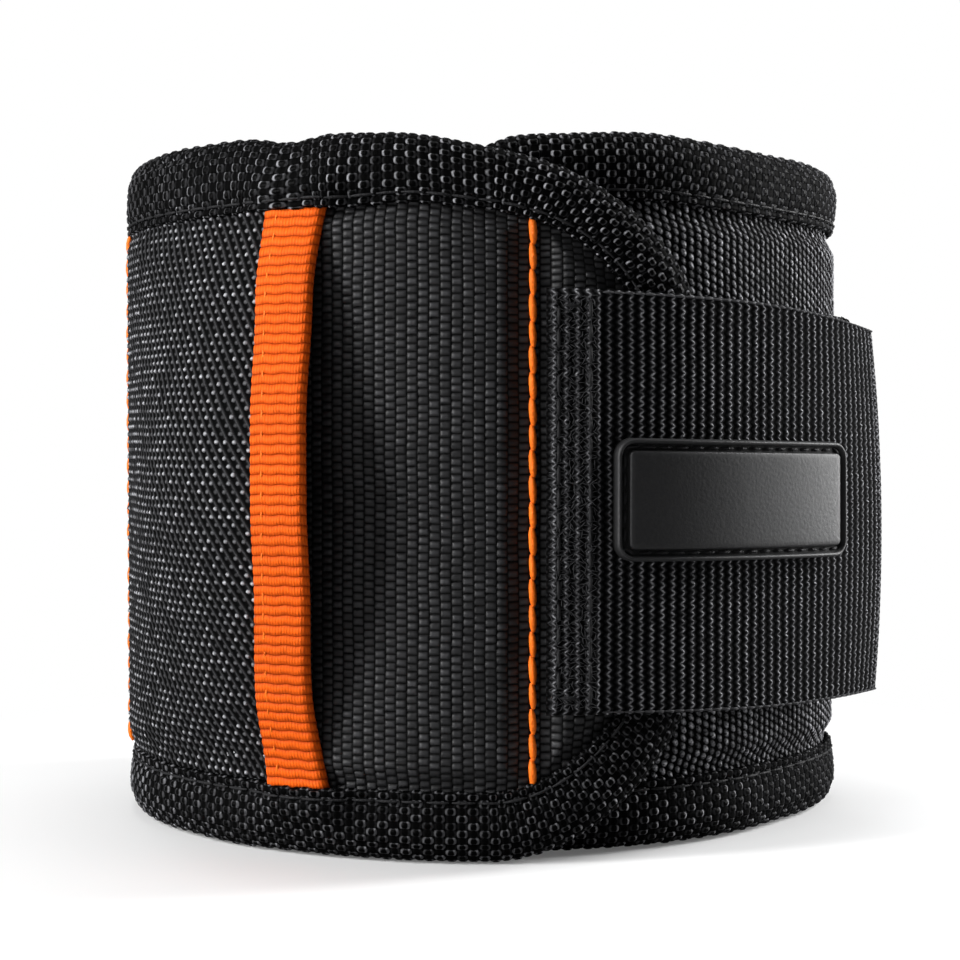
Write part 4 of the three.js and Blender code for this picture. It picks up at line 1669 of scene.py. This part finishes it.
@dataclass
class ClosingStrap:
    """Webbing strap with its sewn end, hook tape, badge and the loop panel under it, in mm.

    The badge's profile has rows of distance in from its outline and height. Hooks and loops stand between
    the heights of hook_rows and loop_rows. The loop panel ends at the angle loop_end. The cut width is in
    metres and not used.
    """

    pattern: BandPattern
    dresser: Dresser
    threads: ThreadTree
    doubled: float = 2.2
    hem: float = 1.7
    rows: int = 181
    hook_thickness: float = 0.75
    hook_height: float = 44.0
    hook_rows: tuple[float, float] = (21.0, 62.0)
    loop_faces: tuple[float, float] = (1.9, 0.25)
    loop_height: float = 48.0
    loop_rows: tuple[float, float] = (21.6, 68.4)
    loop_end: float = 118.0
    badge_lead: float = 1.95
    badge_length: float = 34.9
    badge_height: float = 15.0
    badge_drop: float = 0.45
    badge_slant: float = 0.55
    badge_corner: float = 2.2
    badge_profile: tuple[tuple[float, float], ...] = (
        (7.49, -0.25), (0.06, -0.25), (0.0, -0.1), (0.0, 0.9), (0.06, 1.35), (0.18, 1.62), (0.34, 1.72),
        (0.5, 1.64), (0.62, 1.42), (0.68, 1.12), (0.78, 1.0), (0.95, 0.97), (1.25, 0.97), (1.38, 1.0),
        (1.46, 1.12), (1.52, 1.5), (1.62, 1.68), (1.8, 1.75), (2.2, 1.77), (3.0, 1.78), (4.0, 1.78),
        (5.2, 1.78), (6.4, 1.78), (7.49, 1.78),
    )
    badge_groove: float = 1.07
    sewn_start: float = 1.3
    sewn_end: float = 1.0
    sewn_edge: float = 2.2
    sewn: Stitch = Stitch(length=2.3, thickness=0.5, rise=0.1, sink=0.25, pitch=2.7)
    edging: Stitch = Stitch(length=1.5, thickness=0.3, rise=0.25, sink=0.2, pitch=STRAP_WEAVE.across)
    tufts: Stitch = Stitch(length=0.8, thickness=0.07, rise=0.08, sink=0.06)
    hooks: Stitch = Stitch(length=0.7, thickness=0.22, rise=0.45, sink=0.1)
    loops: Stitch = Stitch(length=1.5, thickness=0.24, rise=0.42, sink=0.1)
    badge_stitch: Stitch = Stitch(length=1.7, thickness=0.42, rise=0.12, sink=0.15, pitch=2.2)
    cut_width: float = 0.054

    def strap(self) -> Piece:
        """Builds the strap with rounded edges and its doubled end.

        Returns:
            The object.
        """
        pattern = self.pattern
        start, end, hinge = pattern.anchor_start, pattern.strap_end, pattern.hinge
        s = np.concatenate([
            start + np.array([0.0, 0.06, 0.18, 0.36]),
            spread(start + 0.6, end - 0.7, 0.3),
            end - np.array([0.4, 0.2, 0.07, 0.0]),
        ])
        half, centre = pattern.strap_half(s)[:, None], pattern.strap_centre(s)[:, None]
        rim = np.array([0.0, 0.05, 0.15, 0.3, 0.5])
        inside = centre + (half - 0.8) * np.linspace(-1.0, 1.0, self.rows)
        z = np.concatenate([centre - half + rim, inside, centre + half - rim[::-1]], axis=1)
        thick = self.doubled + (pattern.webbing - self.doubled) * smooth(s, hinge - 0.5, hinge + 0.6)
        radius = thick[:, None] / 2
        into = np.minimum(half - np.abs(z - centre), np.minimum(s - s[0], s[-1] - s)[:, None])
        swell = radius * rounded(into / radius, 0.01)
        middle = pattern.strap_face(s[:, None], z) + radius
        outer = middle + swell - 0.3 * hump(s, end - self.hem, 0.3)[:, None]
        count, edge, skip = z.shape[1], len(rim), 8
        pick = np.r_[0:edge, skip : count - skip : skip, count - edge : count]
        skin = slab(s, z, outer, z[:, pick], (middle - swell)[:, pick], STRAP_WEAVE)
        return skin.make("closing_strap", pattern.path)

    def badge_loop(self, inset: float) -> Array:
        """Outline of the badge.

        Args:
            inset: How far it is set in.

        Returns:
            Points s, z.
        """
        start = self.pattern.hinge + self.badge_lead
        centre = np.array([start + self.badge_length / 2, self.pattern.mid])
        half = np.array([self.badge_length, self.badge_height]) / 2 - inset
        radius = min(max(self.badge_corner - inset, 0.3), float(half.min()))
        straight = half - radius
        turn = np.linspace(0, math.pi / 2, 8)
        points: list[Array] = []
        for quarter, (sx, sz) in enumerate(((1, 1), (-1, 1), (-1, -1), (1, -1))):
            angle = turn + quarter * math.pi / 2
            pivot = np.array([sx, sz]) * straight
            points.append(pivot + radius * places(np.cos(angle), np.sin(angle)))
            if quarter % 2 == 0:
                across = np.linspace(1, -1, 46)[1:-1]
                points.append(places(sx * across * straight[0], sz * half[1]))
            else:
                across = np.linspace(1, -1, 16)[1:-1]
                points.append(places(sx * half[0], sz * across * straight[1]))
        loop = np.concatenate(points) + centre
        loop[:, 1] -= self.badge_drop + self.badge_slant * (loop[:, 0] - start) / self.badge_length
        return loop

    def badge(self) -> Piece:
        """Builds the moulded badge with its rim, groove and plain plate.

        Returns:
            The object.
        """
        insets, heights = np.array(self.badge_profile).T
        s, z = np.moveaxis(np.stack([self.badge_loop(float(inset)) for inset in insets]), -1, 0)
        rise = heights[:, None] + 0 * s
        o = self.pattern.strap_outer(s, z) + 0.15 + rise
        # Painted light and shade: the raised rim and plate take the rubber's light colour, the groove and the
        # lower faces its dark colour.
        relief = np.where(rise > 1.3, 1.0, 0.3)
        skin = Skin(*(rings[::-1] for rings in (s, o, z, s, z, relief)))
        made = skin.make("badge_moulding", self.pattern.path)
        weld(made, 2.5e-5, 60.0)
        return made

    def pile(
        self, name: str, s: Array, z: Array, face: Callable[[Array, Array], Array], side: float,
        finish: Finish, stitch: Stitch,
    ) -> Piece:
        """Lays hooks or loops over a tape.

        Args:
            name: Name of the piece.
            s, z: Stations and heights of the grid.
            face: Offset of the tape's face.
            side: 1 for the outer face, -1 for the inner one.
            finish: Finish of the threads.
            stitch: Sizes of one thread.

        Returns:
            The object.
        """
        path = self.pattern.path
        grid_s, grid_z = (grid.ravel() for grid in np.meshgrid(s, z, indexing="ij"))
        chance = np.random.default_rng(95).uniform(-1, 1, (4, len(grid_s)))
        grid_s, grid_z = grid_s + 0.15 * chance[0], grid_z + 0.15 * chance[1]
        o = face(grid_s, grid_z)
        points = path.wrap(grid_s, o, grid_z)
        facing = (path.wrap(grid_s, o + 1, grid_z) - points) * side
        ahead = path.wrap(grid_s + 1, o, grid_z) - points
        along = ahead * chance[2][:, None] + np.array([0, 0, MM]) * (0.4 + chance[3][:, None] * 0.5)
        return self.threads.lay(name, points, along, facing, finish, stitch)

    def build(self) -> None:
        """Builds and dresses the strap and what it carries."""
        pattern, dresser, sew = self.pattern, self.dresser, self.threads.row
        path, start, hinge, end = pattern.path, pattern.anchor_start, pattern.hinge, pattern.strap_end
        strap = self.strap()
        dresser.bend(strap, Body.STRAP, WEBBING, "strap_webbing", "strap_anchor")
        top = pattern.clearance + self.doubled
        left, right = start + self.sewn_start, hinge - self.sewn_end
        middle, reach = float(pattern.strap_centre(start)), pattern.strap_width / 2 - self.sewn_edge
        low, high = middle - reach, middle + reach
        box = np.array([[left, low], [right, low], [right, high], [left, high], [left, low]])
        line = np.concatenate([np.linspace(a, b, 60)[:-1] for a, b in zip(box[:-1], box[1:])])
        line = places(line[:, 0], top + 0.02, line[:, 1])
        sewn = sew("anchor_stitches", path, line, BLACK_THREAD, self.sewn)
        dresser.ride(sewn, Body.TONGUE, BLACK_THREAD)
        s, z = spread(start + 0.5, hinge - 0.5, 0.5), spread(low - 1.2, high + 1.2, 0.5)
        fuzz = self.pile("anchor_fuzz", s, z, lambda a, b: top + 0 * a, 1.0, FUZZ, self.tufts)
        dresser.ride(fuzz, Body.TONGUE, FUZZ)
        s = spread(hinge + 0.8, end - 0.4, 0.5)
        for name, side in (("upper", 1.0), ("lower", -1.0)):
            z = pattern.strap_centre(s) + side * (pattern.strap_half(s) - 0.35)
            line = places(s, pattern.strap_outer(s, z) - 0.15, z)
            edging = sew(f"{name}_selvedge", path, line, FUZZ, self.edging)
            dresser.ride(edging, Body.STRAP, FUZZ)
        dresser.ride(self.badge(), Body.STRAP, RUBBER, "badge")
        groove = self.badge_loop(self.badge_groove)
        s, z = np.concatenate([groove, groove[:1]]).T
        line = places(s, pattern.strap_outer(s, z) + 1.2, z)
        stitches = sew("badge_stitches", path, line, BLACK_THREAD, self.badge_stitch)
        dresser.ride(stitches, Body.STRAP, BLACK_THREAD)
        self.build_hooks()
        self.build_loops()

    def build_hooks(self) -> None:
        """Builds and dresses the hook tape under the strap."""
        pattern, dresser = self.pattern, self.dresser
        s = spread(pattern.tongue_tip + 0.3, pattern.strap_end - 5.0, 0.8)
        share = spread(-1.0, 1.0, 2.0 / self.hook_height)
        z = pattern.strap_centre(s)[:, None] + self.hook_height / 2 * share
        outer = pattern.strap_face(s[:, None], z) - 0.05
        skin = slab(s, z, outer, z, outer - self.hook_thickness, GROUND_WEAVE)
        ground = skin.make("hook_tape_ground", pattern.path)
        dresser.ride(ground, Body.STRAP, HOOK, "hook_tape")
        s, z = spread(s[0] + 1, s[-1] - 1, 1.5), spread(*self.hook_rows, 1.5)
        pins = self.pile(
            "hook_pins", s, z, lambda a, b: pattern.strap_face(a, b) - 0.8, -1.0, HOOK, self.hooks
        )
        dresser.ride(pins, Body.STRAP, HOOK)

    def build_loops(self) -> None:
        """Builds and dresses the loop panel that the hooks close on."""
        pattern, dresser = self.pattern, self.dresser
        start = pattern.path.arc(pattern.tip_degrees) + 2 * pattern.webbing
        s = spread(start, pattern.path.arc(self.loop_end), 0.9)
        reach = self.loop_height / 2
        z = np.tile(spread(pattern.mid - reach, pattern.mid + reach, 1.0), (len(s), 1))
        outer, inner = (face + 0 * z for face in self.loop_faces)
        skin = slab(s, z, outer, z, inner, GROUND_WEAVE)
        ground = skin.make("loop_panel_ground", pattern.path)
        dresser.ride(ground, Body.REAR_PANEL, KNIT, "loop_panel")
        s, z = spread(s[0] + 0.7, s[-1] - 0.7, 1.25), spread(*self.loop_rows, 1.3)
        loops = self.pile("loop_pile", s, z, lambda a, b: 1.95 + 0 * a, 1.0, KNIT, self.loops)
        dresser.ride(loops, Body.REAR_PANEL, KNIT)


@dataclass
class MagnetSheet:
    """Foam sheet with the magnets in its pockets, in mm."""

    pattern: BandPattern
    dresser: Dresser
    columns: int = 5
    rows: int = 3
    row_pitch: float = 20.0
    hole: float = 4.8
    sides: int = 32
    outer: float = -1.1
    inner: float = -3.1

    def carrier(self) -> Piece:
        """Builds the foam sheet from one ringed cell for each pocket.

        Returns:
            The object.
        """
        pattern = self.pattern
        start, end = pattern.left_seam + pattern.seam_clear, pattern.right_seam - pattern.seam_clear
        pitch = (end - start) / self.columns
        reach = pattern.mid - pattern.foam_inset
        turn = np.arange(self.sides) * 2 * math.pi / self.sides + math.pi / self.sides
        cosine, sine = np.cos(turn), np.sin(turn)
        ring = np.arange(self.sides)
        following = (ring + 1) % self.sides
        offsets = self.outer, self.outer, self.inner, self.inner
        points, quads = [], []
        for column in range(self.columns):
            for row in range(self.rows):
                s = start + (column + 0.5) * pitch
                z = pattern.mid + (row - 1) * self.row_pitch
                low = z - self.row_pitch / 2 if row else pattern.mid - reach
                high = z + self.row_pitch / 2 if row < self.rows - 1 else pattern.mid + reach
                up = np.where(sine > 0, high - z, z - low)
                cell = np.minimum(pitch / 2 / np.abs(cosine), up / np.abs(sine))
                first = sum(map(len, points))
                for radius, o in zip((cell, self.hole, self.hole, cell), offsets):
                    points.append(pattern.path.wrap(s + radius * cosine, o + 0 * sine, z + radius * sine))
                for layer in range(3):
                    a, b = first + layer * self.sides, first + (layer + 1) * self.sides
                    quads.append(np.stack([a + ring, a + following, b + following, b + ring], axis=1))
        cloud, faces = np.concatenate(points), np.concatenate(quads)
        made = mesh_object("magnet_foam", cloud, faces, [], cloud[:, [0, 2]], np.full(len(cloud), 0.7))
        weld(made, 1e-5, 40.0, bridged=True)
        return made

    def build(self) -> None:
        """Builds and dresses the foam, and plates the magnets."""
        foam = self.carrier()
        self.dresser.ride(foam, Body.MAGNET_PANEL, FOAM, "magnet_carrier")
        for index in range(self.columns * self.rows):
            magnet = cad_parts[f"magnet_{index + 1:02d}"]
            magnet.data.materials.clear()
            magnet.data.materials.append(NICKEL.material())
            log.info("%s: plated", magnet.name)


@dataclass(frozen=True)
class Lamp:
    """A soft lamp: where it hangs and its width and height, in metres, and its power in watts."""

    name: str
    place: tuple[float, float, float]
    size: tuple[float, float]
    power: float

    def hang(self, aim: Sequence[float]) -> None:
        """Hangs the lamp.

        Args:
            aim: Where it points, in metres.
        """
        data = bpy.data.lights.new(self.name, "AREA")
        data.shape, data.energy = "RECTANGLE", self.power
        data.size, data.size_y = self.size
        made = bpy.data.objects.new(self.name, data)
        bpy.context.scene.collection.objects.link(made)
        made.location = self.place
        x, y, z = np.array(aim) - np.array(self.place)
        made.rotation_euler = (math.pi / 2 + math.atan2(z, math.hypot(x, y)), 0, math.atan2(-x, y))


@dataclass
class Studio:
    """Pale floor, soft lamps and the camera.

    Attributes:
        pattern: Flat pattern of the band.
        distance, height, aside: Place of the camera from the loop's centre in mm.
        turn, tilt: Its turn and downward tilt in degrees.
        lens: Its focal length in mm.
        aim: Where the lamps point, in metres.
        lamps: The lamps.
    """

    pattern: BandPattern
    distance: float = 259.8
    height: float = 51.76
    aside: float = -0.91
    turn: float = 0.79
    tilt: float = 1.28
    lens: float = 67.05
    aim: tuple[float, float, float] = (0.0, 0.0, 0.05)
    lamps: tuple[Lamp, ...] = (
        Lamp("key", (-0.35, -0.45, 0.5), (0.3, 0.3), 1.0),
        Lamp("left_strip", (-0.42, -0.2, 0.2), (0.1, 0.4), 3.6),
        Lamp("right_strip", (0.45, 0.12, 0.2), (0.1, 0.4), 4.6),
        Lamp("overhead", (0.0, 0.1, 0.7), (0.4, 0.3), 2.0),
    )

    def mix(self, tree: Tree, share: Socket, shaders: Sequence[Socket], output: str) -> None:
        """Ends a tree in a mix of two shaders.

        Args:
            tree: Tree of a material or of the world.
            share: Share of the second shader.
            shaders: The two shaders.
            output: Name of the tree's output node.
        """
        node = tree.nodes.new("ShaderNodeMixShader")
        for value, socket in zip((share, *shaders), node.inputs):
            tree.links.new(value, socket)
        tree.links.new(node.outputs["Shader"], tree.nodes[output].inputs["Surface"])

    def floor(self) -> None:
        """Lays a pale floor that keeps the shadow and fades to white."""
        bpy.ops.mesh.primitive_plane_add(size=6.0, location=(0, 0, -0.0002))
        ground = bpy.context.object
        ground.name = "floor"
        material = bpy.data.materials.new("pale_floor")
        material.use_nodes = True
        tree = material.node_tree
        nodes, links = tree.nodes, tree.links
        shader, glow = nodes["Principled BSDF"], nodes.new("ShaderNodeEmission")
        shader.inputs["Roughness"].default_value = 0.7
        glow.inputs["Strength"].default_value = 1.0
        seen = Wire(tree, nodes.new("ShaderNodeLightPath").outputs["Is Camera Ray"])
        links.new((0.3 + 0.6 * seen).socket, shader.inputs["Base Color"])
        away = nodes.new("ShaderNodeVectorMath")
        away.operation = "LENGTH"
        links.new(nodes.new("ShaderNodeTexCoord").outputs["Object"], away.inputs[0])
        fade = 0.1 + 0.9 * smooth(Wire(tree, away.outputs["Value"]), 0.05, 0.12)
        shaders = shader.outputs["BSDF"], glow.outputs["Emission"]
        self.mix(tree, (seen * fade).socket, shaders, "Material Output")
        ground.data.materials.append(material)

    def sky(self) -> None:
        """Sets a soft sky that the camera sees as white."""
        world = bpy.data.worlds.new("studio")
        bpy.context.scene.world = world
        world.use_nodes = True
        tree = world.node_tree
        soft, white = tree.nodes["Background"], tree.nodes.new("ShaderNodeBackground")
        for node, colour, strength in ((soft, (0.9, 0.92, 0.95, 1), 0.06), (white, (1, 1, 1, 1), 1.0)):
            node.inputs["Color"].default_value = colour
            node.inputs["Strength"].default_value = strength
        seen = tree.nodes.new("ShaderNodeLightPath").outputs["Is Camera Ray"]
        self.mix(tree, seen, [node.outputs["Background"] for node in (soft, white)], "World Output")

    def camera(self) -> None:
        """Sets up the camera at the photograph's viewing angle."""
        data = bpy.data.cameras.new("camera")
        data.lens, data.sensor_width = self.lens, 36.0
        data.clip_start = 0.01
        camera = bpy.data.objects.new("camera", data)
        bpy.context.scene.collection.objects.link(camera)
        turn, (x, y) = math.radians(self.turn), self.pattern.path.shift
        x += self.distance * math.sin(turn) + self.aside * math.cos(turn)
        y += self.aside * math.sin(turn) - self.distance * math.cos(turn)
        camera.location = (x * MM, y * MM, self.height * MM)
        camera.rotation_euler = (math.radians(90 - self.tilt), 0, turn)
        bpy.context.scene.camera = camera

    def build(self) -> None:
        """Sets up the studio."""
        bpy.context.scene.view_settings.view_transform = "Standard"
        self.floor()
        self.sky()
        for lamp in self.lamps:
            lamp.hang(self.aim)
        self.camera()


def main() -> None:
    """Builds and dresses the wristband in its studio."""
    logging.basicConfig(level=logging.INFO, format="%(name)s %(message)s")
    pattern = BandPattern()
    dresser = Dresser(pattern)
    threads = ThreadTree()
    BoundPanels(pattern, dresser).build()
    EdgeBinding(pattern, dresser, threads).build()
    Pocket(pattern, dresser, threads).build()
    ClosingStrap(pattern, dresser, threads).build()
    MagnetSheet(pattern, dresser).build()
    Studio(pattern).build()


if __name__ == "__main__":
    main()
